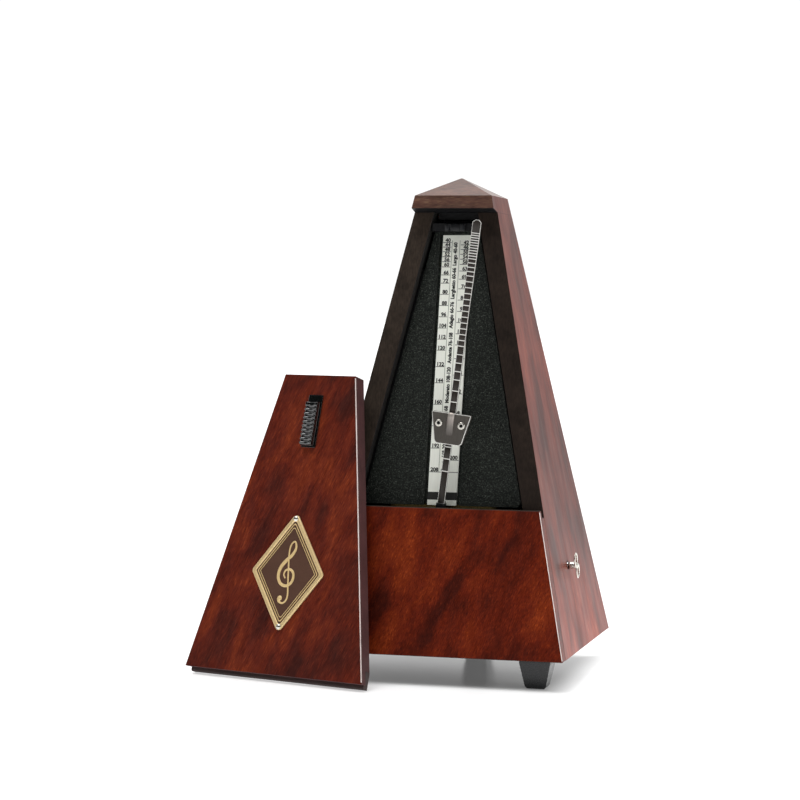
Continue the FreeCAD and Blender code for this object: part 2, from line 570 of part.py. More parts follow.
def wheel(label, teeth, module, x0, gauge, bore, at, turn, crossings=0, cross_r=0, cross_at=0):
    """Spur wheel about its own X axis; the first tooth gap is cut at the top."""
    b = new_body(label)
    place(b, ("Dims.case_x", "Dims.case_y+" + at[0], at[1]), Rotation(V(1, 0, 0), turn))
    s = sketch(b, "YZ_Plane", x0, "Blank")
    circle(s, 0, 0, "%s*(%s/2+0.9)" % (module, teeth))
    circle(s, 0, 0, bore)
    pad(b, s, gauge, name="BlankPad")
    s = sketch(b, "YZ_Plane", None, "Gap")
    rp, m = "%s*%s/2" % (module, teeth), module
    poly(s, [("-0.52*%s" % m, "%s-1.25*%s" % (rp, m)), ("0.52*%s" % m, "%s-1.25*%s" % (rp, m)),
             ("0.86*%s" % m, rp), ("1.42*%s" % m, "%s+1.2*%s" % (rp, m)), ("-1.42*%s" % m, "%s+1.2*%s" % (rp, m)), ("-0.86*%s" % m, rp)])
    g = pocket(b, s, 120.0, name="GapPocket")
    polar(b, g, "X_Axis", teeth)
    if crossings:
        s = sketch(b, "YZ_Plane", None, "Crossing")
        circle(s, cross_at * math.cos(math.radians(45)), cross_at * math.sin(math.radians(45)), cross_r)
        g = pocket(b, s, 120.0, name="CrossingPocket")
        polar(b, g, "X_Axis", crossings, "Crossings")
    return b


def pinion(label, module, x0, gauge, at, turn, ends):
    """Arbor with its ten leaves cut in it; ends = (left x, right x, shoulders)."""
    b = new_body(label)
    place(b, ("Dims.case_x", "Dims.case_y+" + at[0], at[1]), Rotation(V(1, 0, 0), turn))
    s = sketch(b, "YZ_Plane", x0, "Blank")
    circle(s, 0, 0, "%s*5.85" % module)
    pad(b, s, gauge, name="BlankPad")
    s = sketch(b, "YZ_Plane", None, "Gap")
    m = module
    poly(s, [("-0.62*%s" % m, "3.7*%s" % m), ("0.62*%s" % m, "3.7*%s" % m), ("0.98*%s" % m, "5.0*%s" % m),
             ("1.62*%s" % m, "6.2*%s" % m), ("-1.62*%s" % m, "6.2*%s" % m), ("-0.98*%s" % m, "5.0*%s" % m)])
    g = pocket(b, s, 120.0, name="GapPocket")
    polar(b, g, "X_Axis", "Dims.pinion_leaves")
    left, right, r_mid, sl, sr = ends
    s = sketch(b, "XZ_Plane", None, "Arbor")
    pts = [(left, 0), (left, "Dims.arbor_pivot_radius"), (sl, "Dims.arbor_pivot_radius"), (sl, r_mid)]
    pts += [(right, r_mid), (right, 0)] if sr is None else [(sr, r_mid), (sr, "Dims.arbor_pivot_radius"), (right, "Dims.arbor_pivot_radius"), (right, 0)]
    poly(s, pts)
    revolve(b, s, "H_Axis", "ArborTurn")
    return b


wheel("great_wheel", "Dims.main_teeth", "Dims.main_module", "Dims.main_wheel_x", "Dims.wheel_gauge",
      "Dims.main_arbor_radius+Dims.running_gap", ("Dims.main_y", "Dims.main_z"), phi1 + 3.0 - 90.0, 4, 3.3, 11.4)
great = NODES[-1]
wheel("second_wheel", "Dims.second_teeth", "Dims.second_module", "Dims.second_wheel_x", "Dims.second_wheel_gauge",
      "Dims.train_arbor_radius", ("Dims.second_y", "Dims.second_z"), phi2 + 3.6 - 90.0, 5, 2.3, 7.6)
pinion("second_arbor", "Dims.main_module", "Dims.main_wheel_x-0.4", "Dims.wheel_gauge+0.8",
       ("Dims.second_y", "Dims.second_z"), phi1 + 90.0,
       ("-(Dims.plate_x+Dims.plate_gauge)+0.2", "Dims.plate_x+Dims.plate_gauge-0.2", "Dims.train_arbor_radius", "-(Dims.plate_x-0.2)", "Dims.plate_x-0.2"))
pinion("escape_arbor", "Dims.second_module", "Dims.second_wheel_x-0.5", "Dims.second_wheel_gauge+0.8",
       ("Dims.escape_y", "Dims.pivot_z"), phi2 + 90.0,
       ("-(Dims.plate_x+Dims.plate_gauge)+0.2", "Dims.crown_web_x+1.4", "Dims.train_arbor_radius", "-(Dims.plate_x-0.2)", None))

# crown-shaped escape wheel: web with a rim whose saw teeth point to the right
b = new_body("escape_wheel")
place(b, ("Dims.case_x", "Dims.case_y+Dims.escape_y", "Dims.pivot_z"))
s = sketch(b, "XZ_Plane", None, "Section")
xw, xt = "Dims.crown_web_x", "Dims.crown_tip_x"
poly(s, [(xw, "Dims.train_arbor_radius"), ("%s+1.4" % xw, "Dims.train_arbor_radius"), ("%s+1.4" % xw, 2.6), ("%s+0.8" % xw, 2.6),
         ("%s+0.8" % xw, "Dims.crown_radius-Dims.crown_rim"), (xt, "Dims.crown_radius-Dims.crown_rim"), (xt, "Dims.crown_radius"), (xw, "Dims.crown_radius")])
revolve(b, s, "H_Axis", "WheelTurn")
s = sketch(b, "XY_Plane", 12.0, "Gap")
poly(s, [("%s+0.2" % xt, -1.55), ("%s+0.2" % xt, 1.95), ("%s-Dims.crown_depth" % xt, 1.45), ("%s-Dims.crown_depth+0.7" % xt, 0.9)])
g = pocket(b, s, 6.0, mid=False, name="GapPocket")
polar(b, g, "X_Axis", "Dims.crown_teeth")

# ----------------------------------------------- winding arbor, ratchet, click
b = new_body("winding_arbor", ("Dims.case_x", "Dims.case_y+Dims.main_y", "Dims.main_z"))
s = sketch(b, "XZ_Plane", None, "Section")
poly(s, [("-(Dims.plate_x+Dims.plate_gauge+1.2)", 0), ("-(Dims.plate_x+Dims.plate_gauge+1.2)", "Dims.main_arbor_radius"), ("Dims.plate_x+Dims.plate_gauge+1.2", "Dims.main_arbor_radius"),
         ("Dims.plate_x+Dims.plate_gauge+1.2", "Dims.key_shaft_radius"), ("Dims.key_face_x", "Dims.key_shaft_radius"), ("Dims.key_face_x", 0)])
revolve(b, s, "H_Axis", "ArborTurn")

b = new_body("ratchet_wheel")
place(b, ("Dims.case_x", "Dims.case_y+Dims.main_y", "Dims.main_z"), Rotation(V(1, 0, 0), phi1 + 3.0 - 90.0))
xr = "Dims.main_wheel_x+Dims.wheel_gauge+0.3"
s = sketch(b, "YZ_Plane", xr, "Blank")
circle(s, 0, 0, "Dims.ratchet_radius")
circle(s, 0, 0, "Dims.main_arbor_radius")
pad(b, s, "Dims.ratchet_gauge", name="BlankPad")
s = sketch(b, "YZ_Plane", None, "Gap")
poly(s, [(-0.2, 5.0), (0.2, 5.0), (1.85, 7.1), (-0.2, 7.1)])
g = pocket(b, s, 120.0, name="GapPocket")
polar(b, g, "X_Axis", "Dims.ratchet_teeth")

turn_g = Rotation(V(1, 0, 0), phi1 + 3.0 - 90.0)
base_g = ("Dims.case_x", "Dims.case_y+Dims.main_y", "Dims.main_z")
b = new_body("click")
place(b, base_g, turn_g)
s = sketch(b, "YZ_Plane", xr, "Outline")
poly(s, [(0.0, 5.15), (0.12, 5.15), (1.5, 6.95), (4.0, 6.45), (7.2, 4.5), (9.6, 4.7), (10.3, 6.0), (9.6, 7.3), (7.6, 7.9), (3.0, 8.7), (0.1, 8.0)])
circle(s, "Dims.click_x", "Dims.click_z", 0.85)
pad(b, s, "Dims.ratchet_gauge", name="ClickPad")
b = new_body("click_screw")
place(b, base_g, turn_g)
s = sketch(b, "YZ_Plane", "Dims.main_wheel_x+Dims.wheel_gauge", "Shank")
circle(s, "Dims.click_x", "Dims.click_z", 0.8)
pad(b, s, "0.3+Dims.ratchet_gauge+0.2", name="ShankPad")
s = sketch(b, "YZ_Plane", "Dims.main_wheel_x+Dims.wheel_gauge+0.3+Dims.ratchet_gauge+0.2", "Head")
circle(s, "Dims.click_x", "Dims.click_z", 1.7)
pad(b, s, 0.7, name="HeadPad")
b = new_body("click_spring")
place(b, base_g, turn_g)
s = sketch(b, "YZ_Plane", "Dims.main_wheel_x+Dims.wheel_gauge", "Outline")
poly(s, [(-9.5, 8.2), (-6.5, 8.2), (-6.2, 9.0), (2.6, 8.85), (2.6, 9.15), (-6.2, 9.5), (-9.5, 10.2)])
pad(b, s, "0.3+Dims.ratchet_gauge", name="LeafPad")

# winding key: boss and a flat bow of two loops, square to the arbor
b = new_body("winding_key")
place(b, ("Dims.case_x", "Dims.case_y+Dims.main_y", "Dims.main_z"), Rotation(V(1, 0, 0), D("key_turn")))
L, Wd = "Dims.key_half_long", "Dims.key_half_wide"
s = sketch(b, "YZ_Plane", "Dims.key_face_x", "Bow")
poly(s, [("-1.9", "-1.2"), ("-%s" % Wd, "-2.9"), ("-%s" % Wd, "-%s+2.0" % L), ("-%s+2.0" % Wd, "-%s" % L), ("%s-2.0" % Wd, "-%s" % L),
         (Wd, "-%s+2.0" % L), (Wd, "-2.9"), ("1.9", "-1.2"), ("1.9", "1.2"), (Wd, "2.9"), (Wd, "%s-2.0" % L), ("%s-2.0" % Wd, L),
         ("-%s+2.0" % Wd, L), ("-%s" % Wd, "%s-2.0" % L), ("-%s" % Wd, "2.9"), ("-1.9", "1.2")])
for z0 in (-1, 1):
    poly(s, [(-1.3, 2.2 * z0), (1.3, 2.2 * z0), (2.1, 3.2 * z0), (2.1, 5.0 * z0), (1.1, 6.0 * z0), (-1.1, 6.0 * z0), (-2.1, 5.0 * z0), (-2.1, 3.2 * z0)])
pad(b, s, "Dims.key_gauge", name="BowPad")
s = sketch(b, "YZ_Plane", "Dims.key_face_x-1.6", "Boss")
circle(s, 0, 0, 1.9)
circle(s, 0, 0, "Dims.key_shaft_radius")
pad(b, s, 1.6, name="BossPad")

# -------------------------------------------------------------------- pendulum
# own frame: origin on the swing axis, X across, Z up the rod, Y straight back
ROD = Placement(V(D("case_x"), D("case_y"), D("pivot_z")), Rotation(V(0, 1, 0), D("rod_tilt")))


def rod_body(label):
    b = new_body(label, rot=ROD)
    b.setExpression("Placement.Base.x", "Dims.case_x")
    b.setExpression("Placement.Base.y", "Dims.case_y")
    b.setExpression("Placement.Base.z", "Dims.pivot_z")
    b.setExpression("Placement.Rotation.Angle", "Dims.rod_tilt")
    return b


ry, rg = D("rod_y"), D("rod_gauge")
side = [V(-50, -ry + rg / 2, D("rod_foot")), V(-50, -ry - rg / 2, D("rod_foot"))]
for k in range(len(MARKS) - 1, -1, -1):
    z = D("notch_first") + D("notch_stretch") * MARKS[k]
    w2 = min(D("notch_width"), 0.62 * D("notch_stretch") * abs(MARKS[k] - MARKS[k + 1 if k < len(MARKS) - 1 else k - 1])) / 2
    side += [V(-50, -ry - rg / 2, z - w2), V(-50, -ry - rg / 2 + D("notch_depth"), z), V(-50, -ry - rg / 2, z + w2)]
side += [V(-50, -ry - rg / 2, D("rod_tip") + 1), V(-50, -ry + rg / 2, D("rod_tip") + 1)]
prof = Part.Face(Part.makePolygon(side + [side[0]])).extrude(V(100, 0, 0))
hl, hh, zt = D("rod_half_low"), D("rod_half_high"), D("rod_tip")
y0 = -ry - 5
edges = []
ch = D("rod_tip_chamfer")
P = [V(-hl, y0, D("rod_foot") - 1), V(-hl, y0, D("rod_taper_low")), V(-hh, y0, D("rod_taper_high")), V(-hh, y0, zt - ch), V(ch - hh, y0, zt)]
Q = [V(-p.x, p.y, p.z) for p in P]
for a, c in ((P[0], P[1]), (P[1], P[2]), (P[2], P[3]), (P[3], P[4]), (P[4], Q[4]), (Q[4], Q[3])):
    edges.append(Part.LineSegment(a, c).toShape())
for a, c in ((Q[3], Q[2]), (Q[2], Q[1]), (Q[1], Q[0]), (Q[0], P[0])):
    edges.append(Part.LineSegment(a, c).toShape())
front = Part.Face(Part.Wire(edges)).extrude(V(0, 10, 0))
feature("pendulum_rod", prof.common(front).removeSplitter(), rot=ROD)

# hub: black block round the rod's foot, with a boss for the verge arbor
b = rod_body("pendulum_hub")
s = sketch(b, "XZ_Plane", "Dims.rod_y-Dims.hub_back", "Block")
rect(s, "-(Dims.hub_half+0.7)", "Dims.hub_half+0.7", "-Dims.hub_bottom", "Dims.rod_foot-0.5")
pad(b, s, "Dims.hub_back+Dims.hub_front", name="BlockPad")
s = sketch(b, "XZ_Plane", "Dims.rod_y-Dims.hub_back", "Neck")
rect(s, "-(Dims.hub_half+0.2)", "Dims.hub_half+0.2", "Dims.rod_foot-1.0", "Dims.hub_top")
pad(b, s, "Dims.hub_back+Dims.hub_front", name="NeckPad")
s = sketch(b, "XZ_Plane", "Dims.rod_y-Dims.rod_gauge/2", "RodSlot")
rect(s, "-Dims.rod_half_low", "Dims.rod_half_low", "Dims.rod_foot", "Dims.hub_top+5")
pocket(b, s, "Dims.rod_gauge", mid=False, rev=True, name="RodSlotPocket")
s = sketch(b, "XZ_Plane", "Dims.rod_y-Dims.arm_gauge/2", "ArmSlot")
rect(s, "-Dims.arm_half", "Dims.arm_half", "-(Dims.hub_bottom+1)", "-2.2")
pocket(b, s, "Dims.arm_gauge", mid=False, rev=True, name="ArmSlotPocket")
s = sketch(b, "XZ_Plane", None, "VergeHole")
circle(s, 0, 0, "Dims.verge_radius")
pocket(b, s, 400.0, name="VergeHolePocket")

b = rod_body("pendulum_arm")
s = sketch(b, "XZ_Plane", "Dims.rod_y-Dims.arm_gauge/2", "Strip")
rect(s, "-Dims.arm_half", "Dims.arm_half", "-Dims.arm_length", "-2.2")
pad(b, s, "Dims.arm_gauge", name="StripPad")

# heavy bob on the lower arm
b = rod_body("pendulum_bob")
s = sketch(b, "XZ_Plane", "Dims.rod_y-Dims.bob_half", "Disc")
circle(s, 0, "-Dims.bob_drop", "Dims.bob_radius")
pad(b, s, "2*Dims.bob_half", name="DiscPad")
s = sketch(b, "XZ_Plane", "Dims.rod_y-Dims.arm_gauge/2", "ArmSlot")
rect(s, "-Dims.arm_half", "Dims.arm_half", "-Dims.arm_length", "0")
pocket(b, s, "Dims.arm_gauge", mid=False, rev=True, name="ArmSlotPocket")

b = rod_body("verge_arbor")
s = sketch(b, "XZ_Plane", "-Dims.verge_rear", "Shaft")
circle(s, 0, 0, "Dims.verge_radius")
pad(b, s, "Dims.verge_front+Dims.verge_rear", name="ShaftPad")

# two pallets on the arbor, their flags about a quarter turn apart
flags = []
for yc, ang in ((D("escape_y") - D("pallet_offset"), 45.0), (D("escape_y") + D("pallet_offset"), -45.0)):
    ring = Part.makeCylinder(1.8, 2.4, V(0, yc - 1.2, 0), V(0, 1, 0))
    flag = Part.makeBox(D("pallet_reach"), 2.4, 0.6, V(-D("pallet_reach"), yc - 1.2, -0.3))
    flag.rotate(V(0, 0, 0), V(0, 1, 0), ang)
    one = ring.fuse(flag).cut(Part.makeCylinder(D("verge_radius"), 6, V(0, yc - 3, 0), V(0, 1, 0)))
    flags.append(one.removeSplitter())
feature("pallets", Part.makeCompound(flags), rot=ROD)

# -------------------------------------------------------------- sliding weight
b = rod_body("weight_plate")
s = sketch(b, "XZ_Plane", "Dims.rod_y-Dims.weight_back", "Outline")
wt_, wb_, c_ = "Dims.weight_top_half", "Dims.weight_bottom_half", "Dims.weight_corner"
poly(s, [("-%s" % wb_ + "+%s" % c_, "Dims.weight_bottom"), ("%s-%s" % (wb_, c_), "Dims.weight_bottom"), ("%s+0.2" % wb_, "Dims.weight_bottom+%s" % c_),
         (wt_, "Dims.weight_top-0.2"), ("%s-0.3" % wt_, "Dims.weight_top"), ("-%s+0.3" % wt_, "Dims.weight_top"), ("-" + wt_, "Dims.weight_top-0.2"), ("-%s-0.2" % wb_, "Dims.weight_bottom+%s" % c_)])
pad(b, s, "Dims.weight_front+Dims.weight_back", name="PlatePad")
# the raised channel over the rod, tapering out towards the bottom
s = sketch(b, "YZ_Plane", "-Dims.ridge_half", "Ridge")
yf = "-(Dims.rod_y+Dims.weight_front)"
poly(s, [("%s+0.5" % yf, "Dims.weight_top+0.3"), ("%s-Dims.ridge_rise" % yf, "Dims.weight_top-0.4"), ("%s-Dims.ridge_rise" % yf, "Dims.weight_top-3"), ("%s+0.5" % yf, "Dims.ridge_bottom-3")])
pad(b, s, "2*Dims.ridge_half", name="RidgePad")
s = sketch(b, "XZ_Plane", "Dims.rod_y-Dims.weight_back-0.1", "Channel")
rect(s, "-Dims.channel_half", "Dims.channel_half", "Dims.weight_bottom-3", "Dims.weight_top+3")
pocket(b, s, "Dims.weight_back+Dims.channel_front+0.1", mid=False, rev=True, name="ChannelPocket")
s = sketch(b, "XZ_Plane", None, "RivetHoles")
circle(s, "-Dims.rivet_x", "Dims.rivet_z", "Dims.rivet_radius")
circle(s, "Dims.rivet_x", "Dims.rivet_z", "Dims.rivet_radius")
pocket(b, s, 400.0, name="RivetHolesPocket")

b = rod_body("weight_leaf")
s = sketch(b, "XZ_Plane", "Dims.rod_y-Dims.weight_back-Dims.weight_leaf", "Outline")
poly(s, [(-6.6, 37.4), (-1.5, 36.0), (-1.3, 31.5), (1.3, 31.5), (1.5, 36.0), (6.6, 37.4), (6.8, 43.0), (-6.8, 43.0)])
circle(s, "-Dims.rivet_x", "Dims.rivet_z", "Dims.rivet_radius")
circle(s, "Dims.rivet_x", "Dims.rivet_z", "Dims.rivet_radius")
pad(b, s, "Dims.weight_leaf", name="LeafPad")

riv = []
for sx in (-1, 1):
    x, z = sx * D("rivet_x"), D("rivet_z")
    yfr, ybk = -ry - D("weight_front"), -ry + D("weight_back") + D("weight_leaf")
    sh = Part.makeCylinder(D("rivet_radius"), ybk - yfr, V(x, yfr, z), V(0, 1, 0))
    hd = Part.makeCylinder(D("rivet_head"), D("rivet_rise"), V(x, yfr, z), V(0, -1, 0))
    hd = hd.makeFillet(0.35, [e for e in hd.Edges if abs(e.BoundBox.YMin - (yfr - D("rivet_rise"))) < 1e-6 and e.BoundBox.YLength < 1e-6])
    hd = hd.cut(Part.makeCone(0.75, 0.25, 0.6, V(x, yfr - D("rivet_rise"), z), V(0, 1, 0)))
    bk = Part.makeCylinder(1.3, 0.4, V(x, ybk, z), V(0, 1, 0))
    riv.append(sh.fuse(hd).fuse(bk).removeSplitter())
feature("weight_rivets", Part.makeCompound(riv), rot=ROD)

# ------------------------------------------------------------------------- lid
# own frame: X across, Y into the board from its face, Z up the board from its
# lower edge; the board stands on its tongue and leans back on the case
psi, lean = math.radians(D("lid_turn")), math.radians(D("lid_lean"))
tg, tl = D("tongue_drop"), D("lid_wood")
LID = Placement(V(D("case_x") + D("lid_x") - math.sin(psi) * tg * math.sin(lean),
                  D("case_y") + D("lid_y") + math.cos(psi) * tg * math.sin(lean),
                  tg * math.cos(lean) + tl * math.sin(lean)),
                Rotation(V(0, 0, 1), D("lid_turn")).multiply(Rotation(V(1, 0, 0), -D("lid_lean"))))

b = new_body("lid_board", rot=LID)
s = sketch(b, "XZ_Plane", None, "Outline")
poly(s, [("-Dims.lid_bottom_half", 0), ("Dims.lid_bottom_half", 0), ("Dims.lid_top_half", "Dims.lid_length"), ("-Dims.lid_top_half", "Dims.lid_length")])
pad(b, s, "Dims.lid_wood", rev=True, name="BoardPad")
s = sketch(b, "YZ_Plane", None, "TongueRebate")
rect(s, "Dims.tongue_front", "Dims.lid_wood+1", -1.0, "Dims.tongue_up")
pocket(b, s, 300.0, name="RebatePocket")
s = sketch(b, "XZ_Plane", None, "StemSlot")
rect(s, "-(Dims.stem_half+0.15)", "Dims.stem_half+0.15", "Dims.stem_low-0.3", "Dims.stem_high+Dims.latch_travel+0.3")
pocket(b, s, 300.0, name="StemSlotPocket")
s = sketch(b, "XZ_Plane", "-(Dims.lid_wood-Dims.bolt_groove)", "BoltGroove")
rect(s, "-(Dims.bolt_half+0.15)", "Dims.bolt_half+0.15", "Dims.bolt_low-0.4", "Dims.lid_length+2")
pocket(b, s, "Dims.bolt_groove+1", mid=False, rev=False, name="BoltGroovePocket")
s = sketch(b, "XZ_Plane", None, "PinHoles")
circle(s, 0, "Dims.emblem_v-Dims.emblem_pin_v", "Dims.emblem_pin_radius")
circle(s, 0, "Dims.emblem_v+Dims.emblem_pin_v", "Dims.emblem_pin_radius")
pocket(b, s, 8.0, name="PinHolesPocket")

b = new_body("lid_tongue", rot=LID)
s = sketch(b, "YZ_Plane", "-(Dims.lid_bottom_half-Dims.tongue_side)", "Section")
poly(s, [("Dims.tongue_front", "Dims.tongue_up"), ("Dims.tongue_front", "-(Dims.tongue_drop-0.5)"), ("Dims.tongue_front+0.6", "-Dims.tongue_drop"),
         ("Dims.lid_wood", "-Dims.tongue_drop"), ("Dims.lid_wood", "Dims.tongue_up")])
pad(b, s, "2*(Dims.lid_bottom_half-Dims.tongue_side)", name="TonguePad")

b = new_body("emblem_plate", rot=LID)
s = sketch(b, "XZ_Plane", None, "Outline")
ew, evh, ec, e0v = "Dims.emblem_half_w", "Dims.emblem_half_v", "Dims.emblem_cut", "Dims.emblem_v"
poly(s, [(ew, "%s-%s" % (e0v, ec)), (ew, "%s+%s" % (e0v, ec)), (ec, "%s+%s" % (e0v, evh)), ("-" + ec, "%s+%s" % (e0v, evh)),
         ("-" + ew, "%s+%s" % (e0v, ec)), ("-" + ew, "%s-%s" % (e0v, ec)), ("-" + ec, "%s-%s" % (e0v, evh)), (ec, "%s-%s" % (e0v, evh))])
circle(s, 0, "Dims.emblem_v-Dims.emblem_pin_v", "Dims.emblem_pin_radius")
circle(s, 0, "Dims.emblem_v+Dims.emblem_pin_v", "Dims.emblem_pin_radius")
pad(b, s, "Dims.emblem_gauge", name="PlatePad")

pins = []
for sg in (-1, 1):
    z = D("emblem_v") + sg * D("emblem_pin_v")
    p = Part.makeCylinder(D("emblem_pin_radius"), 4.4, V(0, -D("emblem_gauge"), z), V(0, 1, 0))
    hd = Part.makeSphere(1.6, V(0, -D("emblem_gauge") + 0.9, z))
    hd = hd.common(Part.makeCylinder(D("emblem_pin_head"), 2.0, V(0, -D("emblem_gauge"), z), V(0, -1, 0)))
    pins.append(p.fuse(hd).removeSplitter())
feature("emblem_pins", Part.makeCompound(pins), rot=LID)

b = new_body("latch_base", rot=LID)
s = sketch(b, "XZ_Plane", None, "Outline")
rect(s, "-Dims.latch_base_half", "Dims.latch_base_half", "Dims.latch_base_low", "Dims.latch_base_high")
rect(s, "-(Dims.stem_half+0.15)", "Dims.stem_half+0.15", "Dims.stem_low-0.3", "Dims.stem_high+Dims.latch_travel+0.3")
pad(b, s, "Dims.latch_base_gauge", name="BasePad")

# ribbed slide button with its stem through the board
b = new_body("latch_button", rot=LID)
s = sketch(b, "XZ_Plane", "Dims.latch_base_gauge+0.05", "Grip")
rect(s, "-Dims.latch_half", "Dims.latch_half", "Dims.latch_low", "Dims.latch_high")
pad(b, s, "Dims.latch_rise", name="GripPad")
s = sketch(b, "YZ_Plane", None, "Groove")
yg = "-(Dims.latch_base_gauge+0.05+Dims.latch_rise)"
poly(s, [("%s-1" % yg, "Dims.latch_low+0.7"), ("%s" % yg, "Dims.latch_low+0.7"), ("%s+Dims.rib_depth" % yg, "Dims.latch_low+1.2"), ("%s+Dims.rib_depth" % yg, "Dims.latch_low+1.5"), ("%s" % yg, "Dims.latch_low+2.0"), ("%s-1" % yg, "Dims.latch_low+2.0")])
g = pocket(b, s, 60.0, name="GroovePocket")
lp = b.newObject("PartDesign::LinearPattern", "Ribs")
lp.Originals = [g]
lp.Direction = (origin(b, "Z_Axis"), [""])
lp.Length = 9 * D("rib_pitch")
lp.setExpression("Length", "9*Dims.rib_pitch")
lp.Occurrences = 10
b.Tip = lp
s = sketch(b, "XZ_Plane", "Dims.latch_base_gauge+0.05", "Stem")
rect(s, "-Dims.stem_half", "Dims.stem_half", "Dims.stem_low", "Dims.stem_high")
pad(b, s, "Dims.latch_base_gauge+0.05+Dims.lid_wood-Dims.bolt_groove+0.3", rev=True, name="StemPad")

b = new_body("latch_bolt", rot=LID)
s = sketch(b, "XZ_Plane", "-(Dims.lid_wood-Dims.bolt_groove+0.3)", "Bolt")
rect(s, "-Dims.bolt_half", "Dims.bolt_half", "Dims.bolt_low", "Dims.bolt_high")
pad(b, s, "Dims.bolt_gauge", rev=True, name="BoltPad")

# --------------------------------------------------------------- check, export
doc.recompute()
bad = []
for o in doc.Objects:
    if "Invalid" in o.State or "Error" in o.State:
        bad.append("%s %s" % (o.Label, o.State))
for o in NODES:
    if o.Shape.isNull() or not o.Shape.isValid() or not o.Shape.Solids:
        bad.append("shape of " + o.Label)
if bad:
    raise RuntimeError("; ".join(bad))
os.makedirs("parts", exist_ok=True)
for f in os.listdir("parts"):
    if f.endswith(".step"):
        os.remove(os.path.join("parts", f))
lo, hi = [1e9] * 3, [-1e9] * 3
for o in NODES:
    o.Shape.exportStep("parts/%s.step" % o.Label)
    bb = o.Shape.BoundBox
    lo = [min(lo[0], bb.XMin), min(lo[1], bb.YMin), min(lo[2], bb.ZMin)]
    hi = [max(hi[0], bb.XMax), max(hi[1], bb.YMax), max(hi[2], bb.ZMax)]
    print("%-20s solids %d  volume %9.2f mm3" % (o.Label, len(o.Shape.Solids), o.Shape.Volume))
print("nodes", len(NODES), "box", [round(v, 3) for v in lo], [round(v, 3) for v in hi])
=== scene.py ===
import math
import bpy
import bmesh
from mathutils import Matrix, Vector


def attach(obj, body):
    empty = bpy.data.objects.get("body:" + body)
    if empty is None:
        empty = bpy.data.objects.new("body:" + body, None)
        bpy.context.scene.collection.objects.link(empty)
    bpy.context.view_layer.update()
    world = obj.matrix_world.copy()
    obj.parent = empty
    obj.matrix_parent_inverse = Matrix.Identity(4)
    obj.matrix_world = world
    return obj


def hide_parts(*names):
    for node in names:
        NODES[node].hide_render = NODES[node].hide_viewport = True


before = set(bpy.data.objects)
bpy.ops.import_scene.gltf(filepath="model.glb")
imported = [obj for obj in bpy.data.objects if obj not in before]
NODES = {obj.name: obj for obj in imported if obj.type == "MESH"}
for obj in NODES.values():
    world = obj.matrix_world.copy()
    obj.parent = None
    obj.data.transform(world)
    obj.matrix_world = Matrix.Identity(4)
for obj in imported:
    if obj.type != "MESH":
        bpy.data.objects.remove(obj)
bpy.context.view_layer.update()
scene = bpy.context.scene
MM = 0.001
CX, CY = 25.426, 11.663


# ------------------------------------------------------------------ frames
def half(z):
    return 59.96 - 0.212 * (z - 13.24)


ROD = Matrix.Translation((CX * MM, CY * MM, 72.7 * MM)) @ Matrix.Rotation(math.radians(6.85), 4, "Y")
_psi, _phi = math.radians(-17.54), math.radians(15.57)
LID = Matrix.Translation(((CX - 66.57 - math.sin(_psi) * 1.9 * math.sin(_phi)) * MM,
                          (CY - 69.74 + math.cos(_psi) * 1.9 * math.sin(_phi)) * MM,
                          (1.9 * math.cos(_phi) + 6.76 * math.sin(_phi)) * MM)) \
    @ Matrix.Rotation(_psi, 4, "Z") @ Matrix.Rotation(-_phi, 4, "X")
# the printed face of the scale: X across, Y up the face, Z out of it; origin at the 208 line
_z208 = 90.9
SCALE = Matrix(((1, 0, 0, CX * MM),
                (0, 0.20740, -0.97826, (CY - half(_z208) + 13.7) * MM),
                (0, 0.97826, 0.20740, _z208 * MM),
                (0, 0, 0, 1)))
# a plate in the XZ plane of another frame, looked at from its -Y side
FACE = Matrix(((1, 0, 0, 0), (0, 0, -1, 0), (0, 1, 0, 0), (0, 0, 0, 1)))


# --------------------------------------------------------------- materials
def new_mat(name):
    m = bpy.data.materials.new(name)
    m.use_nodes = True
    nt = m.node_tree
    return m, nt, nt.nodes["Principled BSDF"]


def N(nt, kind, **kw):
    n = nt.nodes.new(kind)
    for k, v in kw.items():
        setattr(n, k, v)
    return n


def mapped(nt, grain, size, loc=(0, 0, 0)):
    """Object coordinates turned so that Z runs along grain, in units of size."""
    tc = N(nt, "ShaderNodeTexCoord")
    mp = N(nt, "ShaderNodeMapping", vector_type="TEXTURE")
    q = Vector((0, 0, 1)).rotation_difference(Vector(grain).normalized())
    mp.inputs["Rotation"].default_value = q.to_euler("XYZ")
    mp.inputs["Scale"].default_value = size
    mp.inputs["Location"].default_value = loc
    nt.links.new(tc.outputs["Object"], mp.inputs["Vector"])
    return mp.outputs["Vector"]


def noise(nt, vec, scale=1.0, detail=2.0, rough=0.5, distort=0.0):
    n = N(nt, "ShaderNodeTexNoise")
    n.inputs["Scale"].default_value = scale
    n.inputs["Detail"].default_value = detail
    n.inputs["Roughness"].default_value = rough
    n.inputs["Distortion"].default_value = distort
    nt.links.new(vec, n.inputs["Vector"])
    return n.outputs["Fac"]


def ramp(nt, fac, stops):
    r = N(nt, "ShaderNodeValToRGB")
    e = r.color_ramp.elements
    while len(e) < len(stops):
        e.new(0.5)
    for el, (p, c) in zip(e, stops):
        el.position = p
        el.color = (*c, 1) if len(c) == 3 else c
    nt.links.new(fac, r.inputs["Fac"])
    return r.outputs["Color"]


def span(nt, fac, a0, a1, b0, b1):
    m = N(nt, "ShaderNodeMapRange")
    for k, v in zip(("From Min", "From Max", "To Min", "To Max"), (a0, a1, b0, b1)):
        m.inputs[k].default_value = v
    nt.links.new(fac, m.inputs["Value"])
    return m.outputs["Result"]


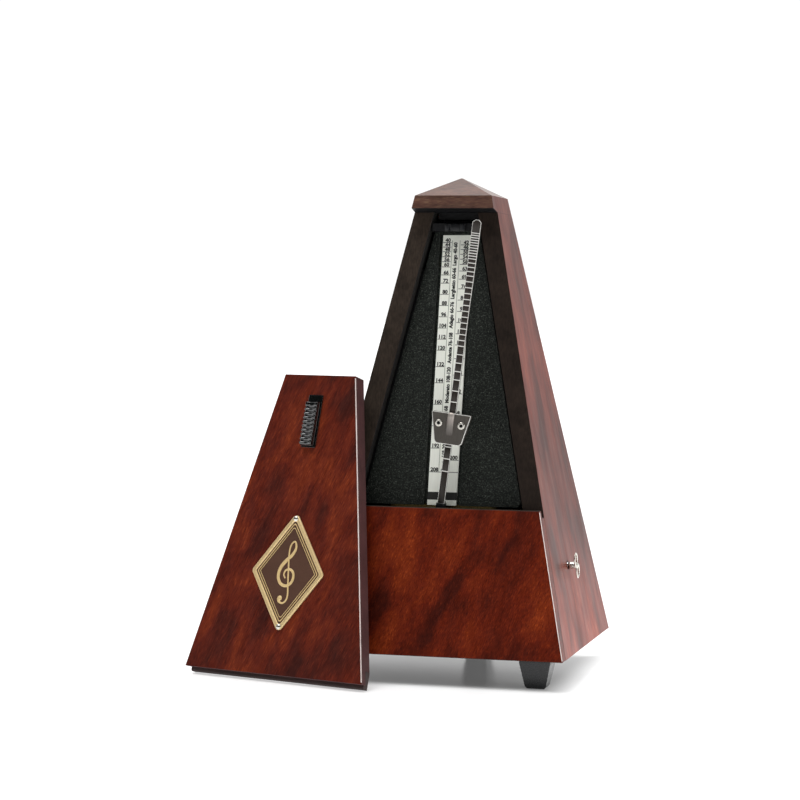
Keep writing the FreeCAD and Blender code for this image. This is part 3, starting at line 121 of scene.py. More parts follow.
def mix(nt, fac, a, b, how="MIX"):
    m = N(nt, "ShaderNodeMix", data_type="RGBA", blend_type=how)
    ins = [i for i in m.inputs if i.enabled]
    for i, v in zip(ins, (fac, a, b)):
        if isinstance(v, (int, float)):
            i.default_value = v
        elif isinstance(v, tuple):
            i.default_value = (*v, 1)
        else:
            nt.links.new(v, i)
    return [o for o in m.outputs if o.enabled][0]


def bump(nt, shader, height, strength, distance):
    b = N(nt, "ShaderNodeBump")
    b.inputs["Strength"].default_value = strength
    b.inputs["Distance"].default_value = distance
    nt.links.new(height, b.inputs["Height"])
    nt.links.new(b.outputs["Normal"], shader.inputs["Normal"])


def wood(name, grain, seed, dark, mid, light, coat=0.05, base_rough=0.38, band=(15, 15, 48), streak=(1.3, 1.3, 12), pore=(0.42, 0.42, 3.8), spec=0.25, depth=0.45, fleck=0.80, rise=None):
    m, nt, sh = new_mat(name)
    s = [Vector(v) * MM for v in (band, streak, pore)]
    big = noise(nt, mapped(nt, grain, s[0], (seed * 0.137, seed * 0.071, seed * 0.053)), 1, 2.6, 0.52, 0.35)
    mid_n = noise(nt, mapped(nt, grain, s[1], (seed * 0.031, seed * 0.017, 0)), 1, 3, 0.6, 0.4)
    fine = noise(nt, mapped(nt, grain, s[2], (seed * 0.011, 0, 0)), 1, 2, 0.6)
    k = lambda v, f: tuple(1 + (x - 1) * f for x in v)
    col = ramp(nt, big, [(0.34, dark), (0.50, mid), (0.70, light)])
    if rise:  # the colour is scaled lighter or darker over the board's height
        tcz = N(nt, "ShaderNodeTexCoord")
        sz = N(nt, "ShaderNodeSeparateXYZ")
        nt.links.new(tcz.outputs["Object"], sz.inputs[0])
        col = mix(nt, 1.0, col, ramp(nt, span(nt, sz.outputs["Z"], 0, 0.222, 0, 1), [(p, (v, v * 1.02, v * 1.02)) for p, v in rise]), "MULTIPLY")
    col = mix(nt, 1.0, col, ramp(nt, mid_n, [(0.30, k((0.66, 0.64, 0.64), depth)), (0.5, (1, 1, 1)), (0.70, k((1.28, 1.38, 1.30), depth))]), "MULTIPLY")
    col = mix(nt, 1.0, col, ramp(nt, fine, [(0.30, k((0.40, 0.36, 0.38), fleck)), (0.45, (0.95, 0.94, 0.94)), (0.56, (1.02, 1.03, 1.02)), (0.70, k((1.85, 2.3, 1.9), fleck))]), "MULTIPLY")
    nt.links.new(col, sh.inputs["Base Color"])
    nt.links.new(span(nt, mid_n, 0.3, 0.7, base_rough - 0.05, base_rough + 0.07), sh.inputs["Roughness"])
    sh.inputs["Coat Weight"].default_value = coat
    sh.inputs["Coat Roughness"].default_value = 0.28
    sh.inputs["Specular IOR Level"].default_value = spec
    bump(nt, sh, fine, 0.10, 0.00012)
    return m


def speckled(name, base, spread, rough, metal=0.0, cell=0.6, amount=0.25, dist=0.05, spec=0.5, coat=0.0, stretch=(1, 1, 1), grain=(0, 0, 1), bump_strength=0.3):
    """Paint, plastic or metal with a fine mottled or brushed surface."""
    m, nt, sh = new_mat(name)
    v = mapped(nt, grain, Vector([cell * s * MM for s in stretch]))
    n1 = noise(nt, v, 1, 3, 0.6)
    n2 = noise(nt, mapped(nt, (0, 0, 1), Vector((9 * MM,) * 3)), 1, 2, 0.5)
    lo = tuple(c * (1 - spread) for c in base)
    hi = tuple(min(1, c * (1 + spread)) for c in base)
    col = ramp(nt, n1, [(0.32, lo), (0.5, base), (0.70, hi)])
    col = mix(nt, amount, col, ramp(nt, n2, [(0.3, lo), (0.7, hi)]))
    nt.links.new(col, sh.inputs["Base Color"])
    nt.links.new(span(nt, n1, 0.3, 0.7, max(0.02, rough - 0.05), rough + 0.07), sh.inputs["Roughness"])
    sh.inputs["Metallic"].default_value = metal
    sh.inputs["Specular IOR Level"].default_value = spec
    sh.inputs["Coat Weight"].default_value = coat
    bump(nt, sh, n1, bump_strength, dist * MM)
    return m


DARK, MIDT, LIGHT = (0.050, 0.0055, 0.0022), (0.118, 0.0118, 0.0030), (0.200, 0.026, 0.0052)
wood_front = wood("veneer_front", (0.36, 0.0, 1.0), 3, DARK, MIDT, LIGHT, spec=0.16, coat=0.02, band=(13, 13, 38))
wood_lid = wood("veneer_lid", (0.48, 0.22, 1.0), 17, (0.046, 0.0078, 0.0052), (0.112, 0.0138, 0.0060), (0.205, 0.030, 0.0085), spec=0.26, coat=0.06, band=(15, 15, 34))
# the right face's veneer is a lighter, greyer copy of the case's veneer: real grain with a painted sheen
wood_side_r = wood("veneer_right_painted_sheen", (-0.20, 0.02, 1.0), 24, (0.085, 0.020, 0.0145), (0.160, 0.034, 0.0225), (0.225, 0.056, 0.038), band=(9, 17, 40), streak=(2.6, 6.5, 44), pore=(0.5, 1.8, 7), spec=0.18, coat=0.0, depth=0.25, fleck=0.35,
                   rise=[(0.06, 1.75), (0.24, 1.10), (0.42, 0.78), (0.62, 1.10), (0.80, 0.92), (0.95, 0.75)])
wood_side_l = wood("veneer_left", (0.21, -0.06, 1.0), 33, DARK, MIDT, LIGHT)
wood_rear = wood("veneer_rear", (-0.15, -0.21, 1.0), 41, DARK, MIDT, LIGHT)
wood_cap = wood("veneer_cap", (1.0, 0.05, 0.0), 55, (0.048, 0.023, 0.017), (0.088, 0.041, 0.029), (0.14, 0.062, 0.042), coat=0.3, spec=0.35, band=(9, 9, 30), depth=0.5)
stained = speckled("stained_edge", (0.029, 0.0205, 0.0150), 0.55, 0.60, cell=0.7, amount=0.45, dist=0.05, spec=0.12, stretch=(1, 1, 5))
# a lighter copy of the cap's veneer for its upward faces: painted light from above
wood_roof_lit = wood("veneer_roof_painted_light", (1.0, 0.05, 0.0), 58, (0.105, 0.046, 0.031), (0.170, 0.074, 0.050), (0.24, 0.105, 0.070), coat=0.3, spec=0.35, band=(9, 9, 30), depth=0.5)
# a darker copy of the stained edge for the right board: painted shade
stained_shaded_r = speckled("stained_edge_right_painted_shade", (0.0175, 0.0115, 0.0085), 0.55, 0.60, cell=0.7, amount=0.45, dist=0.05, spec=0.12, stretch=(1, 1, 5))
lid_edge = speckled("stained_lid_edge", (0.072, 0.026, 0.026), 0.50, 0.55, cell=0.42, amount=0.35, dist=0.12, spec=0.4)
inside_wood = speckled("dark_inside_wood", (0.0085, 0.0075, 0.0065), 0.30, 0.65, cell=0.5, amount=0.3, dist=0.06, stretch=(1, 1, 12))
black_wood = speckled("black_stained_wood", (0.0042, 0.0042, 0.0048), 0.35, 0.55, cell=0.5, amount=0.3, dist=0.05, spec=0.2, stretch=(1, 1, 8))
foot_mat = speckled("black_foot_plastic", (0.010, 0.011, 0.0125), 0.25, 0.26, cell=0.7, dist=0.012, coat=0.1, spec=0.4, bump_strength=0.12)
panel_mat, _nt, _sh = new_mat("black_pebbled_paint")
_v = mapped(_nt, (0, 0, 1), Vector((0.56 * MM,) * 3))
_n1 = noise(_nt, _v, 1, 2, 0.7)
_nt.links.new(ramp(_nt, _n1, [(0.36, (0.0022, 0.0030, 0.0024)), (0.50, (0.0085, 0.0108, 0.0085)), (0.60, (0.026, 0.030, 0.025)), (0.72, (0.080, 0.090, 0.076))]), _sh.inputs["Base Color"])
_nt.links.new(span(_nt, _n1, 0.3, 0.7, 0.42, 0.58), _sh.inputs["Roughness"])
_sh.inputs["Specular IOR Level"].default_value = 0.22
bump(_nt, _sh, _n1, 0.8, 0.00016)
plastic = speckled("black_plastic", (0.0032, 0.0045, 0.0042), 0.25, 0.10, coat=1.0, cell=0.5, dist=0.01, bump_strength=0.1)
ink = speckled("black_ink", (0.009, 0.009, 0.008), 0.3, 0.55, cell=0.2, dist=0.004)
grey_ink = speckled("grey_ink", (0.30, 0.31, 0.27), 0.15, 0.5, cell=0.2, dist=0.004)
scale_mat = speckled("scale_enamel", (0.86, 0.875, 0.795), 0.05, 0.34, cell=0.8, amount=0.4, dist=0.012, spec=0.5, stretch=(0.6, 0.6, 9), grain=(0, 0.207, 0.978), bump_strength=0.15)
rod_mat = speckled("rod_brown_steel", (0.026, 0.020, 0.016), 0.35, 0.40, metal=0.25, cell=0.35, dist=0.02, stretch=(1, 1, 10), grain=(0.119, 0, 0.993), bump_strength=0.2)
# pale paint on the rod's and weight's edges and notch floors: painted glints
glint_paint = speckled("painted_glint_edge", (0.78, 0.77, 0.73), 0.10, 0.32, metal=0.25, cell=0.3, dist=0.01, stretch=(1, 1, 6), grain=(0.119, 0, 0.993), bump_strength=0.15)
weight_mat = speckled("grey_brown_lacquer", (0.066, 0.058, 0.049), 0.20, 0.42, metal=0.3, cell=0.35, dist=0.02, stretch=(1, 1, 7), grain=(0.119, 0, 0.993), bump_strength=0.25)
ridge_mat = speckled("grey_lacquer_painted_highlight", (0.40, 0.36, 0.33), 0.20, 0.36, metal=0.4, cell=0.35, dist=0.02, stretch=(1, 1, 9), grain=(0.119, 0, 0.993), bump_strength=0.25)
# painted highlight: the ridge's grey lacquer is painted lighter towards its top end and darker towards its foot
_nt = ridge_mat.node_tree
_sh = _nt.nodes["Principled BSDF"]
_tc = N(_nt, "ShaderNodeTexCoord")
_sz = N(_nt, "ShaderNodeSeparateXYZ")
_nt.links.new(_tc.outputs["Object"], _sz.inputs[0])
_old = _sh.inputs["Base Color"].links[0].from_socket
_ridge_painted_highlight = ramp(_nt, span(_nt, _sz.outputs["Z"], 0.1075, 0.1180, 0, 1), [(0.0, (0.17, 0.165, 0.155)), (0.40, (0.42, 0.42, 0.42)), (0.78, (1.0, 0.99, 0.98)), (0.86, (0.80, 0.80, 0.80)), (0.93, (1.45, 1.45, 1.42))])
_nt.links.new(mix(_nt, 1.0, _old, _ridge_painted_highlight, "MULTIPLY"), _sh.inputs["Base Color"])
nickel = speckled("bright_nickel", (0.66, 0.64, 0.58), 0.10, 0.24, metal=1.0, cell=0.8, dist=0.006, bump_strength=0.1)
steel = speckled("plain_steel", (0.50, 0.50, 0.50), 0.15, 0.30, metal=1.0, cell=0.4, dist=0.01, stretch=(1, 1, 6), bump_strength=0.2)
spring_steel = speckled("blued_spring_steel", (0.20, 0.23, 0.30), 0.2, 0.28, metal=1.0, cell=0.4, dist=0.01, stretch=(6, 1, 1), bump_strength=0.2)
brass = speckled("satin_brass", (0.70, 0.50, 0.20), 0.12, 0.30, metal=1.0, cell=0.4, dist=0.01, stretch=(1, 8, 1), bump_strength=0.25)
gilt = speckled("gilt_brass", (0.82, 0.61, 0.31), 0.10, 0.33, metal=0.35, cell=0.8, dist=0.002, bump_strength=0.05)
gold_print = speckled("gold_print", (0.80, 0.58, 0.27), 0.12, 0.40, metal=0.15, cell=0.3, dist=0.006, bump_strength=0.15)
field_mat = speckled("brown_enamel_field", (0.095, 0.045, 0.029), 0.16, 0.40, cell=0.4, amount=0.4, dist=0.008, spec=0.4, bump_strength=0.2)


# ----------------------------------------------------------------- helpers
FLAT = {"right_side_board", "left_side_board", "rear_board", "front_panel", "bottom_board", "cap", "lid_board", "lid_tongue", "recess_panel",
        "scale_carrier", "scale_plate", "left_panel_rail", "right_panel_rail", "top_crossbar", "slot_ledge", "latch_base"}


def finish_node(name, mat, bevel=None, segs=2, edge_mat=None, angle=32):
    o = NODES[name]
    o.data.materials.clear()
    for mt in (mat if isinstance(mat, (list, tuple)) else [mat]):
        o.data.materials.append(mt)
    w = o.modifiers.new("weld", "WELD")
    w.merge_threshold = 2e-6
    if bevel:
        b = o.modifiers.new("bevel", "BEVEL")
        b.width = bevel * MM
        b.segments = segs
        b.limit_method = "ANGLE"
        b.angle_limit = math.radians(angle)
        b.harden_normals = name not in FLAT
        b.use_clamp_overlap = True
        if edge_mat is not None:
            o.data.materials.append(edge_mat)
            b.material = len(o.data.materials) - 1
    elif name not in FLAT:
        e = o.modifiers.new("split", "EDGE_SPLIT")
        e.split_angle = math.radians(32)
    for p in o.data.polygons:
        p.use_smooth = name not in FLAT
    return o


def paint(name, rule):
    """Sets each face's material by its normal and centre, in millimetres about the case's centre line."""
    o = NODES[name]
    for p in o.data.polygons:
        c = p.center
        p.material_index = rule(p.normal, (c.x / MM - CX, c.y / MM - CY, c.z / MM))


def mesh_obj(name, verts, faces, mats, body, place=None, smooth=False, index=None):
    me = bpy.data.meshes.new(name)
    if place is not None:
        verts = [place @ (Vector(v) * MM) for v in verts]
    else:
        verts = [Vector(v) * MM for v in verts]
    me.from_pydata([tuple(v) for v in verts], [], faces)
    me.validate()
    bm = bmesh.new()
    bm.from_mesh(me)
    bmesh.ops.recalc_face_normals(bm, faces=bm.faces)
    bm.to_mesh(me)
    bm.free()
    for mt in (mats if isinstance(mats, (list, tuple)) else [mats]):
        me.materials.append(mt)
    if index:
        for p, i in zip(me.polygons, index):
            p.material_index = i
    for p in me.polygons:
        p.use_smooth = smooth
    o = bpy.data.objects.new(name, me)
    scene.collection.objects.link(o)
    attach(o, body)
    return o


def bars(rects, h0, h1):
    """Closed thin slabs (x0, y0, x1, y1) between heights h0 and h1."""
    V, F = [], []
    for x0, y0, x1, y1 in rects:
        b = len(V)
        V += [(x0, y0, h0), (x1, y0, h0), (x1, y1, h0), (x0, y1, h0), (x0, y0, h1), (x1, y0, h1), (x1, y1, h1), (x0, y1, h1)]
        F += [(b, b + 3, b + 2, b + 1), (b + 4, b + 5, b + 6, b + 7), (b, b + 1, b + 5, b + 4), (b + 1, b + 2, b + 6, b + 5), (b + 2, b + 3, b + 7, b + 6), (b + 3, b, b + 4, b + 7)]
    return V, F


def glyphs(items, h0, h1):
    """items: (text, x, y, size, turn, width factor, weight); each text is centred on x, y. Closed thin letters."""
    V, F = [], []
    for body, x, y, size, turn, wf, heavy in items:
        cu = bpy.data.curves.new("t", "FONT")
        cu.body = body
        cu.size = size
        cu.align_x = "CENTER"
        cu.offset = heavy * size
        cu.extrude = 0.01
        cu.resolution_u = 3
        ob = bpy.data.objects.new("t", cu)
        scene.collection.objects.link(ob)
        bpy.context.view_layer.update()
        me = bpy.data.meshes.new_from_object(ob.evaluated_get(bpy.context.evaluated_depsgraph_get()))
        ys = [v.co.y for v in me.vertices]
        xs = [v.co.x for v in me.vertices]
        cy_, cx_ = (min(ys) + max(ys)) / 2, (min(xs) + max(xs)) / 2
        if wf > 3:  # a stated length in millimetres, and not a factor
            wf = wf / (max(xs) - min(xs))
        ct, st = math.cos(turn), math.sin(turn)
        b = len(V)
        for v in me.vertices:
            px, py = (v.co.x - cx_) * wf, v.co.y - cy_
            V.append((x + px * ct - py * st, y + px * st + py * ct, h1 if v.co.z > 0 else h0))
        F += [tuple(b + i for i in p.vertices) for p in me.polygons]
        bpy.data.objects.remove(ob)
        bpy.data.curves.remove(cu)
        bpy.data.meshes.remove(me)
    return V, F


def catmull(P, n=8, closed=False):
    out = []
    m = len(P)
    idx = range(m if closed else m - 1)
    for i in idx:
        g = lambda k: P[k % m] if closed else P[max(0, min(m - 1, k))]
        p0, p1, p2, p3 = (Vector(g(i - 1)), Vector(g(i)), Vector(g(i + 1)), Vector(g(i + 2)))
        for s in range(n):
            t = s / n
            out.append(0.5 * ((2 * p1) + (-p0 + p2) * t + (2 * p0 - 5 * p1 + 4 * p2 - p3) * t * t + (-p0 + 3 * p1 - 3 * p2 + p3) * t ** 3))
    if not closed:
        out.append(Vector(P[-1]))
    return out


def ribbon(P, z0, rise):
    """A closed, gently domed strip along points (x, y, half width)."""
    V, F = [], []
    n = len(P)
    for i, p in enumerate(P):
        a, b = P[max(0, i - 1)], P[min(n - 1, i + 1)]
        t = Vector((b[0] - a[0], b[1] - a[1])).normalized()
        nx, ny = -t.y, t.x
        w = p[2]
        for k, h in ((-1, 0), (-0.8, rise * 0.75), (0, rise), (0.8, rise * 0.75), (1, 0)):
            V.append((p[0] + nx * w * k, p[1] + ny * w * k, z0 + h))
    for i in range(n - 1):
        a, b = 5 * i, 5 * (i + 1)
        for k in range(4):
            F.append((a + k, a + k + 1, b + k + 1, b + k))
        F.append((a + 4, a, b, b + 4))
    F.append((4, 3, 2, 1, 0))
    e = 5 * (n - 1)
    F.append((e, e + 1, e + 2, e + 3, e + 4))
    return V, F


def join(parts):
    V, F = [], []
    for v, f in parts:
        b = len(V)
        V += v
        F += [tuple(b + i for i in q) for q in f]
    return V, F


def ring(outline_pairs, closed_profile=True):
    """outline_pairs: list of loops, each a list of (x, y, z); walls join each loop to the next, and the last to the first."""
    V, F = [], []
    n = len(outline_pairs[0])
    for L in outline_pairs:
        V += L
    m = len(outline_pairs)
    for k in range(m if closed_profile else m - 1):
        a, b = k * n, ((k + 1) % m) * n
        for i in range(n):
            j = (i + 1) % n
            F.append((a + i, a + j, b + j, b + i))
    return V, F


# ------------------------------------------------------- CAD nodes' finish
def shell(mat_out, axis):
    """Veneer on the outer face, dark stain on the edges, and a near-black material inside."""
    return [mat_out, inside_wood, stained]


for nm, mt, test in (("right_side_board", wood_side_r, lambda n, c: n.x > 0.85),
                     ("left_side_board", wood_side_l, lambda n, c: n.x < -0.85),
                     ("rear_board", wood_rear, lambda n, c: n.y > 0.85),
                     ("front_panel", wood_front, lambda n, c: n.y < -0.85)):
    finish_node(nm, [mt, inside_wood, stained], {"rear_board": None, "front_panel": 0.35}.get(nm, 0.10), 3)
    if nm.endswith("side_board"):
        if nm == "right_side_board":
            # the right board's edges take the darker copy: painted shade
            NODES[nm].data.materials[2] = stained_shaded_r
        paint(nm, lambda n, c, test=test: 0 if test(n, c) else (2 if n.y < -0.6 or abs(n.z) > 0.9 else 1))
    elif nm == "front_panel":
        paint(nm, lambda n, c, test=test: 0 if test(n, c) or abs(n.x) > 0.6 else (2 if abs(n.z) > 0.7 else 1))
    else:
        NODES[nm].data.materials.append(wood_side_r)
        NODES[nm].data.materials.append(wood_side_l)
        paint(nm, lambda n, c, test=test: 0 if test(n, c) else (3 if n.x > 0.8 else 4 if n.x < -0.8 else (2 if abs(n.z) > 0.9 else 1)))
finish_node("bottom_board", [inside_wood], 0.4)
finish_node("cap", [wood_cap, black_wood, wood_side_r, wood_side_l, wood_rear, wood_roof_lit], 0.12, 2, angle=62)
# the cap's upward faces take the lighter roof copy: painted light
paint("cap", lambda n, c: 1 if n.z < -0.3 or (n.y < -0.8 and c[1] > -half(c[2]) + 7) else 2 if n.x > 0.8 else 3 if n.x < -0.8 else 4 if n.y > 0.8 else 5 if n.z > 0.3 else 0)
finish_node("lid_board", [wood_lid, lid_edge, stained], 0.45, 3)
_lidinv = LID.to_3x3().inverted()
paint("lid_board", lambda n, c: (lambda q: 0 if q.y < -0.8 or q.z > 0.8 else (1 if abs(q.x) > 0.5 or q.z < -0.8 else 2))(_lidinv @ Vector(n)))
finish_node("lid_tongue", [speckled("stained_tongue", (0.034, 0.014, 0.012), 0.35, 0.55, cell=0.5, amount=0.35, dist=0.05, stretch=(8, 1, 1))], 0.3)
for nm in ("foot_front_left", "foot_front_right", "foot_rear"):
    finish_node(nm, [foot_mat], 0.6, 3)
for nm in ("recess_panel", "scale_carrier"):
    finish_node(nm, [panel_mat], 0.15)
finish_node("scale_plate", [scale_mat], 0.08)
for nm in ("left_panel_rail", "right_panel_rail", "top_crossbar"):
    finish_node(nm, [black_wood], 0.3)
finish_node("slot_ledge", [speckled("ledge_grey_green", (0.10, 0.11, 0.095), 0.2, 0.5, cell=0.4, dist=0.02)], 0.12)
dull_plastic = speckled("dull_black_plastic", (0.0050, 0.0055, 0.0065), 0.25, 0.35, cell=0.5, dist=0.01, spec=0.35, bump_strength=0.1)
for nm in ("rod_clip", "latch_base", "pendulum_hub"):
    finish_node(nm, [plastic if nm == "latch_base" else dull_plastic], 0.25)
finish_node("latch_button", [plastic], 0.12, 2, angle=25)
for nm in ("pendulum_arm", "pendulum_bob", "verge_arbor", "pallets", "second_arbor", "escape_arbor", "winding_arbor", "ratchet_wheel", "click",
           "click_screw", "plate_screws", "foot_screws", "left_foot_bracket", "right_foot_bracket", "plate_pillars", "bridge_posts", "weight_leaf"):
    finish_node(nm, [steel], None)
for nm in ("mainspring", "click_spring"):
    finish_node(nm, [spring_steel], None)
for nm in ("left_plate", "right_plate", "left_arbor_bush", "right_arbor_bush", "escape_bridge", "front_verge_bar", "rear_verge_cock", "great_wheel", "second_wheel", "escape_wheel"):
    finish_node(nm, [brass], None)
finish_node("latch_bolt", [steel], 0.15)
# the bevels of the rod and the weight plate take the pale edge paint: painted glints
finish_node("pendulum_rod", [rod_mat], 0.10, 2, glint_paint, angle=50)
finish_node("weight_plate", [weight_mat, ridge_mat], 0.22, 2, glint_paint)
_rodinv = ROD.inverted()
_rod3 = ROD.to_3x3().inverted()


def _weight_rule(n, c):
    p = _rodinv @ Vector(((c[0] + CX) * MM, (c[1] + CY) * MM, c[2] * MM)) / MM
    return 1 if abs(p.x) < 1.75 and p.y < -36.6 - 2.35 else 0


paint("weight_plate", _weight_rule)
finish_node("weight_rivets", [nickel, black_wood], None)


# near-black paint in the rivets' centre hollows: painted shade
def _rivet_rule(n, c):
    p = _rodinv @ Vector(((c[0] + CX) * MM, (c[1] + CY) * MM, c[2] * MM)) / MM
    return 1 if math.hypot(abs(p.x) - 5.08, p.z - 40.2) < 0.70 and p.y < -38.9 - 0.05 else 0


paint("weight_rivets", _rivet_rule)
finish_node("winding_key", [nickel], 0.35, 3)
finish_node("emblem_plate", [gilt], 0.2)
finish_node("emblem_pins", [nickel], None)

# ------------------------------------------------------------ scale print
MARKS = [104.16, 103.15, 102.11, 101.04, 99.95, 98.83, 97.69, 96.54, 95.36, 94.17, 92.97, 91.14, 89.28, 87.40, 85.51, 82.97, 80.41, 77.84, 75.27, 72.69,
         70.12, 67.56, 65.01, 62.46, 59.93, 57.41, 54.91, 51.18, 47.47, 43.79, 40.14, 35.29, 30.45, 25.61, 20.74, 15.80, 10.75, 5.54, 0.09]
TEMPI = [40, 42, 44, 46, 48, 50, 52, 54, 56, 58, 60, 63, 66, 69, 72, 76, 80, 84, 88, 92, 96, 100, 104, 108, 112, 116, 120, 126, 132, 138, 144, 152, 160, 168, 176, 184, 192, 200, 208]
XL0, XL1, XR0, XR1 = -6.45, -2.55, 1.75, 6.45
rects, nums = [], []
for k, (s, t) in enumerate(zip(MARKS, TEMPI)):
    left = k % 2 == 0
    x0, x1 = (XL0, XL1) if left else (XR0, XR1)
    if t == 208:
        rects += [(XL0, s - 0.13, XR1, s + 0.13)]
    else:
        rects += [(x0, s - 0.13, x1, s + 0.13)]
    xc = (x0 + x1) / 2 + (0.25 if left else 0.1)
    nums.append((str(t), xc, s + 1.12, 2.35, 0.0, 0.98, 0.045))
V, F = bars(rects, 0.004, 0.03)
mesh_obj("scale_mark_lines", V, F, ink, "case", SCALE)
V, F = glyphs(nums, 0.004, 0.03)
mesh_obj("scale_tempo_numbers", V, F, ink, "case", SCALE)
words = [("Largo 40-60", 93.6, 104.3), ("Larghetto 60-66", 78.3, 92.6), ("Adagio 66-76", 64.8, 77.0), ("Andante 76-108", 48.9, 63.0), ("Moderato 108-120", 31.1, 47.3), ("Allegro 120-168", 14.9, 29.8), ("Presto 168-208", 0.6, 13.6)]
V, F = glyphs([(w, -0.42, (s0 + s1) / 2, 2.25, math.pi / 2, s1 - s0, 0.05) for w, s0, s1 in words], 0.004, 0.03)
mesh_obj("scale_tempo_words", V, F, ink, "case", SCALE)
V, F = bars([(-2.35, -0.0, -2.10, 105.2), (1.20, -0.0, 1.45, 105.2)], 0.004, 0.024)
mesh_obj("scale_column_lines", V, F, grey_ink, "case", SCALE)
band_hi = (82.3 - _z208) / 0.97826
band_lo = (78.9 - _z208) / 0.97826
V, F = bars([(-6.6, band_lo, -1.8, band_hi), (1.8, band_lo, 6.6, band_hi), (-1.8, band_lo, 1.8, band_hi)], 0.004, 0.03)
mesh_obj("scale_foot_band", V, F, ink, "case", SCALE)

# ------------------------------------------------------- rod notches: painted glints
def rod_half(z):
    return 1.6 + 0.35 * min(1, max(0, (z - 90) / 30))


rx = []
for s in MARKS:
    z = 19.24 + 1.0087 * s
    hw = rod_half(z)
    rx.append((-hw + 0.02, z - 0.19, hw - 0.02, z + 0.19))
V, F = bars(rx, -0.14, -0.03)
RODF = ROD @ Matrix.Translation((0, -37.0 * MM, 0)) @ FACE
mesh_obj("rod_notch_painted_glints", V, F, glint_paint, "pendulum", RODF)


def slab(poly, h0, h1):
    n = len(poly)
    return ([(x, y, h0) for x, y in poly] + [(x, y, h1) for x, y in poly],
            [tuple(range(n))[::-1], tuple(range(n, 2 * n))] + [(i, (i + 1) % n, n + (i + 1) % n, n + i) for i in range(n)])


# painted glints: pale strips along the rod's edges, wider on the right side, and across its tip and foot
parts = []
for sg, w in ((1, 0.24), (-1, 0.15)):
    for z0, z1 in ((3.1, 90), (90, 120), (120, 129.1)):
        a, b = rod_half(z0), rod_half(z1)
        parts.append(slab([(sg * (a - w), z0), (sg * a, z0), (sg * b, z1), (sg * (b - w), z1)], -0.05, 0.02))
    parts.append(slab([(sg * 1.95, 129.1), (sg * 0.85, 130.2), (sg * 0.75, 129.95), (sg * 1.71, 129.0)], -0.05, 0.02))
parts.append(slab([(-0.85, 130.0), (0.85, 130.0), (0.85, 130.2), (-0.85, 130.2)], -0.05, 0.02))
parts.append(slab([(-1.6, 3.0), (1.6, 3.0), (1.6, 3.3), (-1.6, 3.3)], -0.05, 0.02))
V, F = join(parts)
mesh_obj("rod_edge_painted_glints", V, F, glint_paint, "pendulum", RODF)


# --------------------------------------------------------- sliding weight
def rounded(pts, radii, n=6):
    out = []
    m = len(pts)
    for i in range(m):
        c = Vector(pts[i])
        a, b = Vector(pts[i - 1]), Vector(pts[(i + 1) % m])
        u, v = (a - c).normalized(), (b - c).normalized()
        r = radii[i]
        ang = math.acos(max(-1, min(1, u.dot(v))))
        dd = r / math.tan(ang / 2)
        cen = c + (u + v).normalized() * (r / math.sin(ang / 2))
        p, q = c + u * dd, c + v * dd
        a0 = math.atan2(p.y - cen.y, p.x - cen.x)
        a1 = math.atan2(q.y - cen.y, q.x - cen.x)
        if a1 < a0:
            a1 += 2 * math.pi
        for k in range(n):
            t = a0 + (a1 - a0) * k / (n - 1)
            out.append((cen.x + r * math.cos(t), cen.y + r * math.sin(t)))
    return out


def weight_loop(e, h):
    """The weight's outline moved in by e, at height h."""
    return [(x, y, h) for x, y in rounded([(-6.05 + e * 1.1, 31.3 + e), (6.05 - e * 1.1, 31.3 + e), (8.9 - e * 1.1, 45.1 - e), (-8.9 + e * 1.1, 45.1 - e)],
                                          [1.9 - e, 1.9 - e, 0.5 - e * 0.5, 0.5 - e * 0.5])]


WGT = ROD @ Matrix.Translation((0, -38.9 * MM, 0)) @ FACE
# the plate's rounded front rim takes the pale edge paint: painted glints
loops = [weight_loop(0.12, -1.75), weight_loop(0, -1.63), weight_loop(0, -0.20), weight_loop(0.07, -0.06), weight_loop(0.26, 0.0)]
n = len(loops[0])
V, F = ring(loops, closed_profile=False)
idx = [0] * n + [0] * n + [1] * n + [1] * n
F += [tuple(range(n))[::-1], tuple(range(4 * n, 5 * n))]
idx += [0, 0]
plate = mesh_obj("weight_front_plate", V, F, [weight_mat, glint_paint], "tempo_weight", WGT, index=idx)
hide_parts("weight_plate")
parts = []
for sg in (1, -1):
    q = rounded([(2.1, 31.3), (6.05, 31.3), (8.9, 45.1), (2.1, 45.1)], [0.2, 1.9, 0.5, 0.2])
    if sg < 0:
        q = [(-x, y) for x, y in q][::-1]
    parts.append(slab(q, -3.0, -1.74))
V, F = join(parts)
mesh_obj("weight_back_cheeks", V, F, weight_mat, "tempo_weight", WGT)
V, F = [], []
rows = [45.45, 45.38, 45.2, 44.9, 44.5, 44.0, 43, 42, 41, 40, 39, 38, 37, 36.2, 35.6, 35.2]
for z in rows:
    w = 1.55 * (math.sqrt(max(0.02, 1 - ((z - 44.0) / 1.47) ** 2)) if z > 44.0 else 1.0)
    hgt = 0.95 * (math.sqrt(max(0.05, 1 - ((z - 44.0) / 1.47) ** 2)) if z > 44.0 else 1.0) * (1 if z > 40.5 else max(0.02, (z - 35.0) / 5.5))
    for k in range(-5, 6):
        a = k / 5 * math.pi / 2
        V.append((w * math.sin(a), z, -0.06 + hgt * math.cos(a) ** 0.8 if abs(k) < 5 else -0.10))
m = 11
for i in range(len(rows) - 1):
    for k in range(m - 1):
        F.append((i * m + k, i * m + k + 1, (i + 1) * m + k + 1, (i + 1) * m + k))
    F.append((i * m + m - 1, i * m, (i + 1) * m, (i + 1) * m + m - 1))
F += [tuple(range(m))[::-1], tuple((len(rows) - 1) * m + k for k in range(m))]
mesh_obj("weight_channel_ridge", V, F, ridge_mat, "tempo_weight", WGT, smooth=True)

